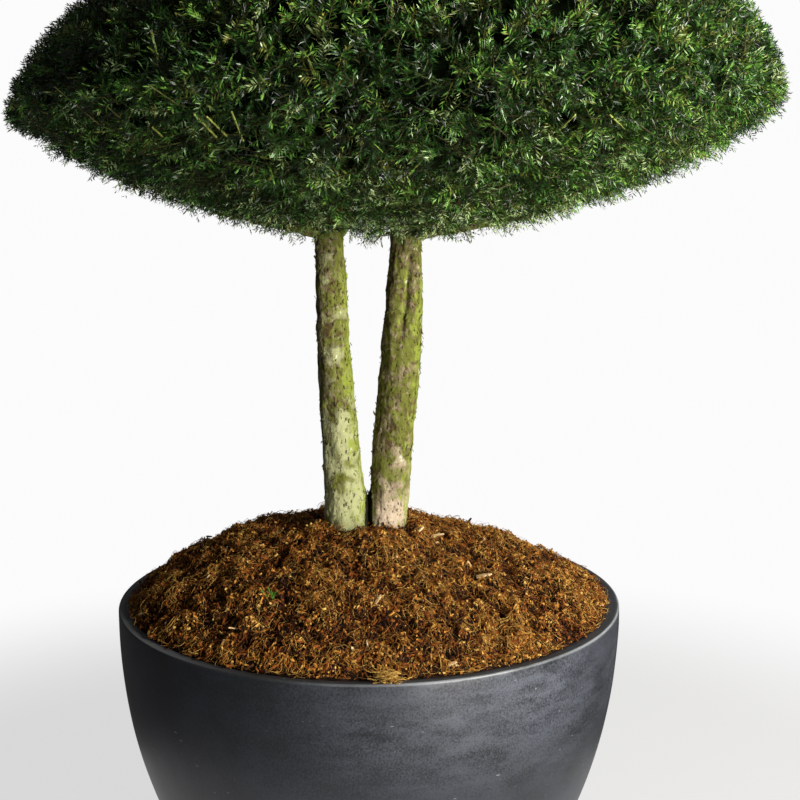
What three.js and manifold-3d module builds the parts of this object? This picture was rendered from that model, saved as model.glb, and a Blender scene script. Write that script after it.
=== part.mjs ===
// Clipped umbrella-shaped English yew on two leaning trunks, planted in a wide bowl.
// Millimetres, +Z up. The origin is the centre of the bowl's flat underside, and the
// front of the plant faces -Y.

import * as THREE from "three";
import { mergeVertices } from "three/addons/utils/BufferGeometryUtils.js";
import Module from "manifold-3d";

const wasm = await Module();
wasm.setup();

// Driving dimensions
const GAP = 0.3; // clearance between neighbouring solids

const BOWL = {
  rimRadius: 532,
  height: 655,
  swell: 760, // half height of the ellipse that the wall follows
  straightBelow: 120, // under this height the wall runs straight to the foot
  footRound: 14,
  lipWidth: 30,
  lipFall: 4, // the lip slopes in by this much
  edgeRound: 4,
  wall: 30,
  floor: 32,
  wallLevels: [70, 150, 250, 360, 480, 580],
  cavityLevels: [120, 240, 380, 520],
  segments: 44,
};

const MOUND = {
  peakHeight: 815,
  edgeHeight: 648,
  peak: [-70, 45], // where the mound is highest
  crest: 1.25, // a higher power makes the crest broader
  fall: 0.62, // a lower power makes the edge steeper
  padHeight: 795, // ground level at the trunks
  padRadius: 112,
  padBlend: 60,
  padCentre: [-6, -2],
  rings: [0.12, 0.27, 0.43, 0.6, 0.78], // from the bowl's wall to the pad
};

const TRUNK_LEFT = {
  points: [
    [-48, -8, 795],
    [-64, -12, 1010],
    [-77, -16, 1200],
    [-84, -20, 1410],
    [-89, -23, 1530],
  ],
  radii: [43, 39.5, 35, 31, 29],
  flare: 4,
  lobes: 4,
  flute: 0,
  fluteAt: -1.9,
};

const TRUNK_RIGHT = {
  points: [
    [36, 6, 795],
    [52, 8, 990],
    [69, 12, 1200],
    [78, 15, 1400],
    [83, 17, 1530],
  ],
  radii: [42, 44, 44, 34, 31],
  flare: 4,
  lobes: 5,
  flute: 0.14, // depth, as a share of the radius, of the groove between its two fused strands
  fluteAt: -1.35,
};

const FLUTE_HEIGHT = 1290;
const FLUTE_LENGTH = 110;
const FLARE_HEIGHT = 55;
const FOLIAGE_FROM = 1300; // no foliage grows lower
const TRUNK_SIDES = 16;
const TRUNK_STEPS = 16;

// Boughs: trunk, height of the fork, heading and rise in degrees, and the radii at both ends
const BOUGHS = [
  { name: "bough_left", trunk: "left", z: 1432, heading: 178, rise: 29, radii: [21, 13] },
  { name: "bough_front_left", trunk: "left", z: 1466, heading: 245, rise: 30, radii: [17, 12] },
  { name: "bough_back_left", trunk: "left", z: 1450, heading: 112, rise: 28, radii: [19, 12] },
  { name: "bough_inner", trunk: "left", z: 1408, heading: 12, rise: 50, radii: [10, 7] },
  { name: "bough_right", trunk: "right", z: 1425, heading: -4, rise: 28, radii: [21, 12] },
  { name: "bough_front_right", trunk: "right", z: 1466, heading: 300, rise: 30, radii: [17, 12] },
  { name: "bough_back_right", trunk: "right", z: 1452, heading: 62, rise: 28, radii: [19, 12] },
];
const BOUGH_SEAT = 22; // how deep a bough's end lies in the crown's core
const BOUGH_SIDES = 8;
const BOUGH_STEPS = 4;
const BOUGH_SAG = 0.05; // how far a bough hangs below its chord, as a share of its length
const BOUGH_REACH = 420; // no bough is longer

// The clipped outline: a dome over a shallow bowl-shaped underside
const CROWN = {
  centre: [58, 0],
  radius: 806,
  rimHeight: 1688,
  underside: 262, // from the rim down to the lowest point, at the trunks
  undersidePower: 2.05,
  dome: 540,
  domePower: 1.66,
  domePowerSway: 0.12, // the right-hand side is clipped fuller than the left
  tilt: 1.6, // degrees, right-hand side up
  coreInset: 56,
  coreInsetBelow: 64,
  coreRings: 15, // an odd number, so that one ring lies at the rim
  coreSegments: 26,
  coreRough: 12, // the core's surface goes in and out by this much
};

const SPRAY = {
  count: 86,
  rimCount: 20,
  rimBand: 0.05, // the share of the outline, either side of the rim, that the rim's sprays cover
  forked: 0.25, // share of the sprays that fork
  sink: 34, // how deep each root lies in the core
  rootRadius: 8,
  endRadius: 3.5,
  leanAbove: 62, // degrees off the outline's normal
  leanBelow: 56,
  leanRim: 34,
  sway: 1.6, // how far sprays turn off the upward or outward line, in radians from side to side
  rimSway: 1.4, // sprays at the rim lie along it
  roll: 1.4,
  teeth: 3,
  stalk: 0.2, // where a plain blade begins, of the spray's whole length
  fork: 0.36, // where a forked spray's blades begin
  bladeWidth: 0.62, // of the blade's length
  bladeThickness: 0.045,
  sideAngle: 50,
  sideLength: 0.52,
  limbClearance: 16,
  seed: 20817,
};

// Colours
const ANTHRACITE = new THREE.MeshStandardMaterial({ color: 0x3b3e44, roughness: 0.62, metalness: 0 });
const MULCH = new THREE.MeshStandardMaterial({ color: 0x6e4222, roughness: 0.95, metalness: 0 });
const BARK = new THREE.MeshStandardMaterial({ color: 0x958c6c, roughness: 0.9, metalness: 0 });
const YEW_GREEN = new THREE.MeshStandardMaterial({ color: 0x2c4a22, roughness: 0.7, metalness: 0 });

const UP = new THREE.Vector3(0, 0, 1);

function seededRandom(seed) {
  let state = seed;
  return () => {
    state = (state + 0x6d2b79f5) | 0;
    let mixed = Math.imul(state ^ (state >>> 15), 1 | state);
    mixed = (mixed + Math.imul(mixed ^ (mixed >>> 7), 61 | mixed)) ^ mixed;
    return ((mixed ^ (mixed >>> 14)) >>> 0) / 4294967296;
  };
}

function closedGeometry(points, faces) {
  const geometry = new THREE.BufferGeometry();
  const positions = points.flatMap((point) => point.toArray());
  geometry.setAttribute("position", new THREE.Float32BufferAttribute(positions, 3));
  geometry.setIndex(faces.flat());
  return geometry;
}

// Skins a stack of rings of equal count, each running anticlockwise seen from the last one
function loft(rings) {
  const sides = rings[0].length;
  const points = rings.flat();
  const faces = [];
  for (let row = 0; row + 1 < rings.length; row++) {
    for (let side = 0; side < sides; side++) {
      const next = (side + 1) % sides;
      const a = row * sides + side;
      const b = row * sides + next;
      faces.push([a, b, b + sides], [a, b + sides, a + sides]);
    }
  }
  const ends = [
    { ring: rings[0], start: 0, flip: true },
    { ring: rings[rings.length - 1], start: (rings.length - 1) * sides, flip: false },
  ];
  for (const { ring, start, flip } of ends) {
    const middle = ring.reduce((sum, point) => sum.add(point), new THREE.Vector3()).divideScalar(sides);
    const hub = points.push(middle) - 1;
    for (let side = 0; side < sides; side++) {
      const a = start + side;
      const b = start + ((side + 1) % sides);
      faces.push(flip ? [hub, b, a] : [hub, a, b]);
    }
  }
  return closedGeometry(points, faces);
}

function toSolid(geometry) {
  const bare = geometry.clone();
  bare.deleteAttribute("normal");
  bare.deleteAttribute("uv");
  const merged = mergeVertices(bare, 1e-3);
  return new wasm.Manifold(
    new wasm.Mesh({
      numProp: 3,
      vertProperties: new Float32Array(merged.attributes.position.array),
      triVerts: new Uint32Array(merged.index.array),
    }),
  );
}

function toGeometry(solid) {
  const mesh = solid.getMesh();
  const geometry = new THREE.BufferGeometry();
  geometry.setAttribute("position", new THREE.Float32BufferAttribute(mesh.vertProperties, 3));
  geometry.setIndex(Array.from(mesh.triVerts));
  return geometry;
}

// Keeps the one body that everything grows on and drops loose scraps and sealed hollows
function largestBody(solid) {
  const bodies = solid.decompose();
  return bodies.reduce((best, body) => (body.volume() > best.volume() ? body : best));
}

function mix(values, t) {
  const place = t * (values.length - 1);
  const low = Math.min(Math.floor(place), values.length - 2);
  return THREE.MathUtils.lerp(values[low], values[low + 1], place - low);
}

function meshOf(name, geometry, material) {
  geometry.computeVertexNormals();
  const mesh = new THREE.Mesh(geometry, material);
  mesh.name = name;
  return mesh;
}

// The bowl

function wallRadius(z) {
  const along = (height) => {
    const drop = (BOWL.height - height) / BOWL.swell;
    return BOWL.rimRadius * Math.sqrt(1 - drop * drop);
  };
  if (z >= BOWL.straightBelow) {
    return along(z);
  }
  const slope = along(BOWL.straightBelow + 1) - along(BOWL.straightBelow);
  return along(BOWL.straightBelow) - slope * (BOWL.straightBelow - z);
}

function cavityRadius(z) {
  return wallRadius(z) - BOWL.wall;
}

const CAVITY_TOP = BOWL.height - BOWL.lipFall;
const CAVITY_LEVELS = [BOWL.floor, ...BOWL.cavityLevels, CAVITY_TOP];

function bowlGeometry() {
  const { rimRadius, height, footRound, edgeRound, lipWidth } = BOWL;
  const profile = [
    [0, 0],
    [wallRadius(0) - footRound, 0],
    [wallRadius(0) - footRound * 0.25, footRound * 0.3],
    [wallRadius(footRound), footRound],
  ];
  for (const z of BOWL.wallLevels) {
    profile.push([wallRadius(z), z]);
  }
  profile.push([rimRadius, height - edgeRound], [rimRadius - edgeRound, height]);
  profile.push([rimRadius - lipWidth, CAVITY_TOP]);
  for (const z of [...CAVITY_LEVELS].reverse().slice(1)) {
    profile.push([cavityRadius(z), z]);
  }
  profile.push([0, BOWL.floor]);
  return lathed(profile);
}

// Turns an outline of [radius, height] pairs about the vertical axis
function lathed(profile) {
  const points = profile.map(([radius, z]) => new THREE.Vector2(radius, z));
  const geometry = new THREE.LatheGeometry(points, BOWL.segments);
  geometry.rotateX(Math.PI / 2);
  return weldedOutward(geometry);
}

// Welds a lathed body and drops the flat triangles on its axis
function weldedOutward(geometry) {
  geometry.deleteAttribute("normal");
  geometry.deleteAttribute("uv");
  const merged = mergeVertices(geometry, 1e-3);
  const kept = [];
  const index = merged.index.array;
  for (let i = 0; i < index.length; i += 3) {
    const [a, b, c] = [index[i], index[i + 1], index[i + 2]];
    if (a !== b && b !== c && c !== a) {
      kept.push(a, b, c);
    }
  }
  merged.setIndex(kept);
  if (signedVolume(merged) < 0) {
    for (let i = 0; i < kept.length; i += 3) {
      [kept[i + 1], kept[i + 2]] = [kept[i + 2], kept[i + 1]];
    }
    merged.setIndex(kept);
  }
  return merged;
}

function signedVolume(geometry) {
  const position = geometry.attributes.position;
  const corner = (i) => new THREE.Vector3().fromBufferAttribute(position, geometry.index.getX(i));
  let sum = 0;
  for (let i = 0; i < geometry.index.count; i += 3) {
    sum += corner(i).dot(corner(i + 1).cross(corner(i + 2)));
  }
  return sum / 6;
}

// The mulch mound over the soil

function moundHeight(x, y) {
  const edge = cavityRadius(CAVITY_TOP);
  const out = Math.min(Math.hypot(x, y) / edge, 1);
  const pull = 1 - out * out;
  const away = Math.hypot(x - MOUND.peak[0] * pull, y - MOUND.peak[1] * pull) / edge;
  const fall = Math.pow(Math.max(1 - Math.pow(away, MOUND.crest), 0), MOUND.fall);
  const open = MOUND.edgeHeight + (MOUND.peakHeight - MOUND.edgeHeight) * fall;
  const [px, py] = MOUND.padCentre;
  const offPad = (Math.hypot(x - px, y - py) - MOUND.padRadius) / MOUND.padBlend;
  return THREE.MathUtils.lerp(MOUND.padHeight, open, THREE.MathUtils.smoothstep(offPad, 0, 1));
}

function fillGeometry() {
  const { segments } = BOWL;
  const edge = cavityRadius(CAVITY_TOP) - GAP;
  const rings = [];
  for (const z of CAVITY_LEVELS.slice(0, -1)) {
    const level = z === BOWL.floor ? z + GAP : z;
    rings.push(ringOf(segments, (angle) => polar(cavityRadius(z) - GAP, angle, level)));
  }
  rings.push(ringOf(segments, (angle) => polar(edge, angle, MOUND.edgeHeight)));
  const [px, py] = MOUND.padCentre;
  for (const share of MOUND.rings) {
    rings.push(
      ringOf(segments, (angle) => {
        const x = THREE.MathUtils.lerp(edge * Math.cos(angle), px + MOUND.padRadius * Math.cos(angle), share);
        const y = THREE.MathUtils.lerp(edge * Math.sin(angle), py + MOUND.padRadius * Math.sin(angle), share);
        return new THREE.Vector3(x, y, moundHeight(x, y));
      }),
    );
  }
  rings.push(
    ringOf(segments, (angle) => {
      const x = px + MOUND.padRadius * Math.cos(angle);
      const y = py + MOUND.padRadius * Math.sin(angle);
      return new THREE.Vector3(x, y, MOUND.padHeight);
    }),
  );
  return loft(rings);
}

function ringOf(sides, pointAt) {
  return Array.from({ length: sides }, (_, side) => pointAt((side / sides) * Math.PI * 2));
}

function polar(radius, angle, z) {
  return new THREE.Vector3(radius * Math.cos(angle), radius * Math.sin(angle), z);
}

// The trunks

function trunkCentre(trunk, z) {
  const points = trunk.points;
  const last = points.length - 1;
  let low = 0;
  while (low < last - 1 && z > points[low + 1][2]) {
    low++;
  }
  const curve = new THREE.CatmullRomCurve3(points.map((point) => new THREE.Vector3(...point)));
  const t = (low + (z - points[low][2]) / (points[low + 1][2] - points[low][2])) / last;
  const place = curve.getPoint(THREE.MathUtils.clamp(t, 0, 1));
  return { x: place.x, y: place.y, radius: mix(trunk.radii, t) };
}

function trunkRadius(trunk, radius, z, angle) {
  const above = z - trunk.points[0][2];
  const flare = trunk.flare * Math.exp(-above / FLARE_HEIGHT) * (1 + 0.5 * Math.cos(trunk.lobes * angle));
  const turn = Math.atan2(Math.sin(angle - trunk.fluteAt), Math.cos(angle - trunk.fluteAt));
  const along = (z - FLUTE_HEIGHT) / FLUTE_LENGTH;
  const groove = trunk.flute * Math.exp(-turn * turn * 6 - along * along);
  return (radius + flare) * (1 - groove) * (1 + 0.02 * Math.sin(3 * angle + z / 60));
}

function trunkGeometry(trunk, grow) {
  const bottom = trunk.points[0][2] + GAP;
  const top = trunk.points[trunk.points.length - 1][2];
  const rings = [];
  for (let step = 0; step <= TRUNK_STEPS; step++) {
    const z = THREE.MathUtils.lerp(bottom, top, Math.pow(step / TRUNK_STEPS, 1.15));
    const centre = trunkCentre(trunk, z);
    const lift = step === 0 ? -grow : step === TRUNK_STEPS ? grow : 0;
    rings.push(
      ringOf(TRUNK_SIDES, (angle) => {
        const radius = trunkRadius(trunk, centre.radius, z, angle) + grow;
        return new THREE.Vector3(
          centre.x + radius * Math.cos(angle),
          centre.y + radius * Math.sin(angle),
          z + lift,
        );
      }),
    );
  }
  return loft(rings);
}

// The boughs

function boughPath(bough) {
  const trunk = bough.trunk === "left" ? TRUNK_LEFT : TRUNK_RIGHT;
  const start = trunkCentre(trunk, bough.z);
  const heading = THREE.MathUtils.degToRad(bough.heading);
  const rise = THREE.MathUtils.degToRad(bough.rise);
  const from = new THREE.Vector3(start.x, start.y, bough.z);
  const way = new THREE.Vector3(
    Math.cos(heading) * Math.cos(rise),
    Math.sin(heading) * Math.cos(rise),
    Math.sin(rise),
  );
  const end = from.clone().addScaledVector(way, start.radius);
  const seated = () => end.z > undersideHeight(end.x, end.y) + CROWN.coreInsetBelow + BOUGH_SEAT;
  for (let reach = start.radius; reach < BOUGH_REACH && !seated(); reach += 2) {
    end.addScaledVector(way, 2);
  }
  const middle = from.clone().lerp(end, 0.5);
  middle.addScaledVector(UP, -from.distanceTo(end) * BOUGH_SAG);
  return new THREE.QuadraticBezierCurve3(from, middle, end);
}

function boughGeometry(bough, grow) {
  const path = boughPath(bough);
  const rings = [];
  for (let step = 0; step <= BOUGH_STEPS; step++) {
    const t = step / BOUGH_STEPS;
    const place = path.getPoint(t);
    const along = path.getTangent(t);
    const side = new THREE.Vector3().crossVectors(UP, along).normalize();
    const over = new THREE.Vector3().crossVectors(along, side);
    const radius = mix(bough.radii, t) + grow;
    if (step === BOUGH_STEPS) {
      place.addScaledVector(along, grow);
    }
    rings.push(
      ringOf(BOUGH_SIDES, (angle) =>
        place
          .clone()
          .addScaledVector(side, radius * Math.cos(angle))
          .addScaledVector(over, radius * Math.sin(angle)),
      ),
    );
  }
  return loft(rings);
}

// The crown's outline

function crownPoint(s, angle) {
  // s runs from -1 at the lowest point, through 0 at the rim, to 1 at the top
  let radius = CROWN.radius;
  let height = 0;
  if (s < 0) {
    const share = 1 + s;
    radius *= share;
    height = -CROWN.underside * (1 - Math.pow(share, CROWN.undersidePower));
  } else {
    const power = 2 / (CROWN.domePower + CROWN.domePowerSway * Math.cos(angle));
    radius *= Math.pow(Math.cos((s * Math.PI) / 2), power);
    height = CROWN.dome * Math.pow(Math.sin((s * Math.PI) / 2), power);
  }
  const tilt = THREE.MathUtils.degToRad(CROWN.tilt);
  const x = radius * Math.cos(angle);
  return new THREE.Vector3(
    CROWN.centre[0] + x * Math.cos(tilt) - height * Math.sin(tilt),
    CROWN.centre[1] + radius * Math.sin(angle),
    CROWN.rimHeight + x * Math.sin(tilt) + height * Math.cos(tilt),
  );
}

// Height of the underside over a place on the ground
function undersideHeight(x, y) {
  const tilt = THREE.MathUtils.degToRad(CROWN.tilt);
  const across = x - CROWN.centre[0];
  const share = Math.hypot(across, y - CROWN.centre[1]) / CROWN.radius;
  const below = CROWN.underside * (1 - Math.pow(share, CROWN.undersidePower));
  return CROWN.rimHeight + across * Math.tan(tilt) - below;
}

function isInsideOutline(point) {
  const tilt = THREE.MathUtils.degToRad(CROWN.tilt);
  const east = point.x - CROWN.centre[0];
  const north = point.y - CROWN.centre[1];
  const up = point.z - CROWN.rimHeight;
  const across = east * Math.cos(tilt) + up * Math.sin(tilt);
  const height = up * Math.cos(tilt) - east * Math.sin(tilt);
  const share = Math.hypot(across, north) / CROWN.radius;
  if (share > 1) {
    return false;
  }
  const power = CROWN.domePower + (CROWN.domePowerSway * across) / (share * CROWN.radius + 1);
  const ceiling = CROWN.dome * Math.pow(1 - Math.pow(share, power), 1 / power);
  const floor = -CROWN.underside * (1 - Math.pow(share, CROWN.undersidePower));
  return height < ceiling && height > floor;
}

function crownNormal(s, angle) {
  const step = 0.01;
  const low = Math.max(s - step, -0.999);
  const high = Math.min(s + step, 0.999);
  const up = crownPoint(high, angle).sub(crownPoint(low, angle));
  const round = crownPoint(s, angle + step).sub(crownPoint(s, angle - step));
  return round.cross(up).normalize();
}

function insetAt(s) {
  return THREE.MathUtils.lerp(CROWN.coreInset, CROWN.coreInsetBelow, THREE.MathUtils.smoothstep(-s, 0, 0.8));
}

function coreGeometry(random) {
  const rings = [];
  for (let row = 0; row < CROWN.coreRings; row++) {
    const t = (row + 0.5) / CROWN.coreRings;
    const s = THREE.MathUtils.lerp(-1, 1, t);
    rings.push(
      ringOf(CROWN.coreSegments, (angle) =>
        crownPoint(s, angle).addScaledVector(
          crownNormal(s, angle),
          (random() - 0.5) * 2 * CROWN.coreRough - insetAt(s),
        ),
      ),
    );
  }
  return loft(rings);
}

// Even places over the whole outline: equal areas from bottom to top, turned by the golden angle
function sprayPlaces() {
  const steps = 400;
  const areas = [0];
  for (let i = 1; i <= steps; i++) {
    const low = crownPoint(-1 + (2 * (i - 1)) / steps, 0);
    const high = crownPoint(-1 + (2 * i) / steps, 0);
    const radius = (low.x + high.x) / 2 - CROWN.centre[0];
    areas.push(areas[i - 1] + Math.max(radius, 0) * low.distanceTo(high));
  }
  const golden = Math.PI * (3 - Math.sqrt(5));
  const places = [{ s: 0.999, angle: 0, lean: 0, rim: false }];
  for (let i = 0; i < SPRAY.rimCount; i++) {
    places.push({ s: 0, angle: (i / SPRAY.rimCount) * Math.PI * 2, lean: SPRAY.leanRim, rim: true });
  }
  let at = 0;
  for (let i = 0; i < SPRAY.count; i++) {
    const wanted = ((i + 0.5) / SPRAY.count) * areas[steps];
    while (areas[at + 1] < wanted) {
      at++;
    }
    const part = (wanted - areas[at]) / (areas[at + 1] - areas[at]);
    const s = -1 + (2 * (at + part)) / steps;
    if (Math.abs(s) > SPRAY.rimBand) {
      places.push({ s, angle: i * golden, lean: s > 0 ? SPRAY.leanAbove : SPRAY.leanBelow, rim: false });
    }
  }
  return places;
}

// A toothed blade of needles from base along way, its teeth spread to both sides
function bladeGeometry(base, way, side, length) {
  const face = new THREE.Vector3().crossVectors(way, side);
  const half = (length * SPRAY.bladeWidth) / 2;
  const thick = length * SPRAY.bladeThickness;
  const at = (along, across, off) =>
    base
      .clone()
      .addScaledVector(way, along * length)
      .addScaledVector(side, across * half)
      .addScaledVector(face, off * thick);
  const edge = [[0, 0.12]];
  for (let tooth = 0; tooth < SPRAY.teeth; tooth++) {
    const from = (tooth + 0.35) / SPRAY.teeth;
    const wide = 1 - 0.6 * Math.abs(from - 0.45);
    edge.push([from + 0.18, wide], [from + 0.16, 0.3 * wide]);
  }
  const outline = [...edge.map(([along, across]) => [along, -across]), [1, 0], ...edge.reverse()];
  const points = outline.map(([along, across]) => at(along, across, 0));
  const count = points.length;
  points.push(at(0.35, 0, 1), at(0.7, 0, 1), at(0.35, 0, -1), at(0.7, 0, -1));
  const faces = [];
  for (let i = 0; i < count; i++) {
    const next = (i + 1) % count;
    const hub = outline[i][0] < 0.53 ? 0 : 1;
    const nextHub = outline[next][0] < 0.53 ? 0 : 1;
    faces.push([i, next, count + hub], [next, i, count + 2 + hub]);
    if (hub !== nextHub) {
      faces.push([next, count + nextHub, count + hub], [count + 2 + nextHub, next, count + 2 + hub]);
    }
  }
  return closedGeometry(points, faces);
}

// A three-sided tapering twig
function twigGeometry(root, end) {
  const way = end.clone().sub(root).normalize();
  const side = new THREE.Vector3(way.z, way.x, way.y).cross(way).normalize();
  const over = new THREE.Vector3().crossVectors(way, side);
  const ringAt = (place, radius) =>
    ringOf(3, (angle) =>
      place
        .clone()
        .addScaledVector(side, radius * Math.cos(angle))
        .addScaledVector(over, radius * Math.sin(angle)),
    );
  return loft([ringAt(root, SPRAY.rootRadius), ringAt(end, SPRAY.endRadius)]);
}

// Balls along every limb, which foliage keeps clear of
function limbBalls() {
  const balls = [];
  for (const trunk of [TRUNK_LEFT, TRUNK_RIGHT]) {
    for (let z = FOLIAGE_FROM; z <= trunk.points[trunk.points.length - 1][2]; z += 15) {
      const centre = trunkCentre(trunk, z);
      balls.push({ place: new THREE.Vector3(centre.x, centre.y, z), radius: centre.radius });
    }
  }
  for (const bough of BOUGHS) {
    const path = boughPath(bough);
    for (let t = 0; t <= 1; t += 0.1) {
      balls.push({ place: path.getPoint(t), radius: mix(bough.radii, t) });
    }
  }
  return balls;
}

function staysClear(balls, from, to) {
  const spots = [0, 0.35, 0.7, 1].map((t) => from.clone().lerp(to, t));
  return balls.every(({ place, radius }) =>
    spots.every((spot) => spot.distanceTo(place) > radius + SPRAY.limbClearance),
  );
}

// The frame that a spray grows in: its whole length ends on the outline
function sprayFrame(place, random) {
  const { s, angle, lean } = place;
  const tip = crownPoint(s, angle);
  const normal = crownNormal(s, angle);
  const climb = s < 0 ? new THREE.Vector3(Math.cos(angle), Math.sin(angle), 0) : UP.clone();
  climb.addScaledVector(normal, -climb.dot(normal)).normalize();
  const across = new THREE.Vector3().crossVectors(normal, climb);
  const sway = place.rim ? (random() < 0.5 ? -SPRAY.rimSway : SPRAY.rimSway) : (random() - 0.5) * SPRAY.sway;
  const slant = climb.multiplyScalar(Math.cos(sway)).addScaledVector(across, Math.sin(sway));
  const leaning = THREE.MathUtils.degToRad(lean * (0.85 + 0.3 * random()));
  const way = normal.clone().multiplyScalar(Math.cos(leaning)).addScaledVector(slant, Math.sin(leaning));
  const length = (insetAt(s) + SPRAY.sink) / Math.cos(leaning);
  const side = new THREE.Vector3().crossVectors(way, normal).normalize();
  side.applyAxisAngle(way, (random() - 0.5) * SPRAY.roll);
  return { tip, way, side, length, root: tip.clone().addScaledVector(way, -length) };
}

// Toothed blades on their twig, or nothing where a limb is in the way
function sprayBodies(place, balls, random) {
  const { tip, way, side, length, root } = sprayFrame(place, random);
  const hand = random() < 0.5 ? -1 : 1;
  const forks = random() < SPRAY.forked;
  const base = root.clone().lerp(tip, forks ? SPRAY.fork : SPRAY.stalk);
  if (!staysClear(balls, base, tip)) {
    return [];
  }
  const bodies = [toSolid(bladeGeometry(base, way, side, base.distanceTo(tip)))];
  if (!forks) {
    return bodies;
  }
  bodies.push(toSolid(twigGeometry(root, base.clone().lerp(tip, 0.08))));
  const face = new THREE.Vector3().crossVectors(way, side);
  const turned = THREE.MathUtils.degToRad(SPRAY.sideAngle) * hand;
  const sideWay = way.clone().applyAxisAngle(face, turned);
  const sideTip = base.clone().addScaledVector(sideWay, length * SPRAY.sideLength);
  if (isInsideOutline(sideTip) && staysClear(balls, base, sideTip)) {
    const sideAcross = side.clone().applyAxisAngle(face, turned);
    bodies.push(toSolid(bladeGeometry(base, sideWay, sideAcross, length * SPRAY.sideLength)));
  }
  return bodies;
}

function crownSolid(limbs) {
  const random = seededRandom(SPRAY.seed);
  const balls = limbBalls();
  const core = toSolid(coreGeometry(random));
  const sprays = sprayPlaces().flatMap((place) => sprayBodies(place, balls, random));
  const grown = wasm.Manifold.union([core, ...sprays]);
  const clear = limbs.reduce((solid, limb) => solid.subtract(toSolid(limb)), grown);
  return largestBody(clear);
}

const plant = new THREE.Group();
plant.add(meshOf("pot", bowlGeometry(), ANTHRACITE));
plant.add(meshOf("mulch_fill", fillGeometry(), MULCH));

const leftTrunk = trunkGeometry(TRUNK_LEFT, 0);
const rightTrunk = toSolid(trunkGeometry(TRUNK_RIGHT, 0)).subtract(toSolid(trunkGeometry(TRUNK_LEFT, GAP)));
plant.add(meshOf("trunk_left", leftTrunk, BARK));
plant.add(meshOf("trunk_right", toGeometry(rightTrunk), BARK));

const wideTrunks = [trunkGeometry(TRUNK_LEFT, GAP), trunkGeometry(TRUNK_RIGHT, GAP)];
for (const bough of BOUGHS) {
  const whole = toSolid(boughGeometry(bough, 0));
  const seated = wideTrunks.reduce((solid, trunk) => solid.subtract(toSolid(trunk)), whole);
  plant.add(meshOf(bough.name, toGeometry(largestBody(seated)), BARK));
}

const wideLimbs = [...wideTrunks, ...BOUGHS.map((bough) => boughGeometry(bough, GAP))];
plant.add(meshOf("crown", toGeometry(crownSolid(wideLimbs)), YEW_GREEN));

export default plant;
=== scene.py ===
"""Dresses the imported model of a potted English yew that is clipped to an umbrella."""

import logging
import math
from dataclasses import dataclass, field
from enum import Enum

import bpy
import numpy as np
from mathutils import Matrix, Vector


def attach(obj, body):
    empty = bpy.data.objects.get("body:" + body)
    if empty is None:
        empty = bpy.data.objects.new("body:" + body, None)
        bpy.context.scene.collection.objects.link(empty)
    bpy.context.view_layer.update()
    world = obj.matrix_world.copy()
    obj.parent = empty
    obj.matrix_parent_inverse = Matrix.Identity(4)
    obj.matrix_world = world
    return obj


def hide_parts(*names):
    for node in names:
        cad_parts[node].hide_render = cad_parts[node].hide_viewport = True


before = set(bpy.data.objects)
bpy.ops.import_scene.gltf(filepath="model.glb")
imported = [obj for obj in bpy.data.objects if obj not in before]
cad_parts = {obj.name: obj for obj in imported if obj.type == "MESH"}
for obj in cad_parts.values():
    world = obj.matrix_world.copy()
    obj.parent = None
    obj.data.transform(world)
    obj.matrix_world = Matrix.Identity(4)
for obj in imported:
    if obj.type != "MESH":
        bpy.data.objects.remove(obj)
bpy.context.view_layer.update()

ROOT = "root"
MM = 0.001
GOLDEN_ANGLE = math.pi * (3 - math.sqrt(5))
UP = np.array([0.0, 0.0, 1.0])

log = logging.getLogger("yew")


# Shared helpers


def linear(code: str) -> tuple[float, float, float, float]:
    """Turn an sRGB hex colour into the linear colour that shaders take.

    Args:
        code: Six hex digits, such as "3b5a2b".

    Returns:
        Red, green, blue and an alpha of one.
    """
    values = [int(code[i : i + 2], 16) / 255 for i in (0, 2, 4)]
    red, green, blue = (v / 12.92 if v <= 0.04045 else ((v + 0.055) / 1.055) ** 2.4 for v in values)
    return (red, green, blue, 1.0)


def unit(vectors: np.ndarray) -> np.ndarray:
    """Scale vectors to length one along the last axis."""
    return vectors / np.maximum(np.linalg.norm(vectors, axis=-1, keepdims=True), 1e-9)


def mix(low: np.ndarray | float, high: np.ndarray | float, share: np.ndarray | float) -> np.ndarray | float:
    """Blend from low to high by a share from 0 to 1."""
    return low + (high - low) * share


def smooth_step(low: float, high: float, values: np.ndarray | float) -> np.ndarray | float:
    """Ease from 0 to 1 as values go from low to high."""
    t = np.clip((values - low) / (high - low), 0, 1)
    return t * t * (3 - 2 * t)


def per_mm(size: float) -> float:
    """Texture scale at which a pattern repeats about every so many millimetres."""
    return 1 / (size * MM)


class Kind(Enum):
    """The node types in use."""

    COORDINATES = "ShaderNodeTexCoord"
    GEOMETRY = "ShaderNodeNewGeometry"
    MAPPING = "ShaderNodeMapping"
    NOISE = "ShaderNodeTexNoise"
    RANGE = "ShaderNodeMapRange"
    MATH = "ShaderNodeMath"
    VECTOR = "ShaderNodeVectorMath"
    MIX = "ShaderNodeMix"
    SPLIT = "ShaderNodeSeparateXYZ"
    BUMP = "ShaderNodeBump"
    RAY = "ShaderNodeLightPath"


# Settings that several nodes share. Sockets whose names repeat go by number: a range takes its value at 0, the
# span that it reads at 1 and 2 and the span that it gives at 3 and 4, and a mix of colours takes the share at 0,
# the colour underneath at 6 and the one on top at 7.
EASED = {"interpolation_type": "SMOOTHSTEP"}
COLOURS = {"data_type": "RGBA", "out": 2}
TIMES = {"operation": "MULTIPLY"}
PLUS = {"operation": "ADD"}


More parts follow.
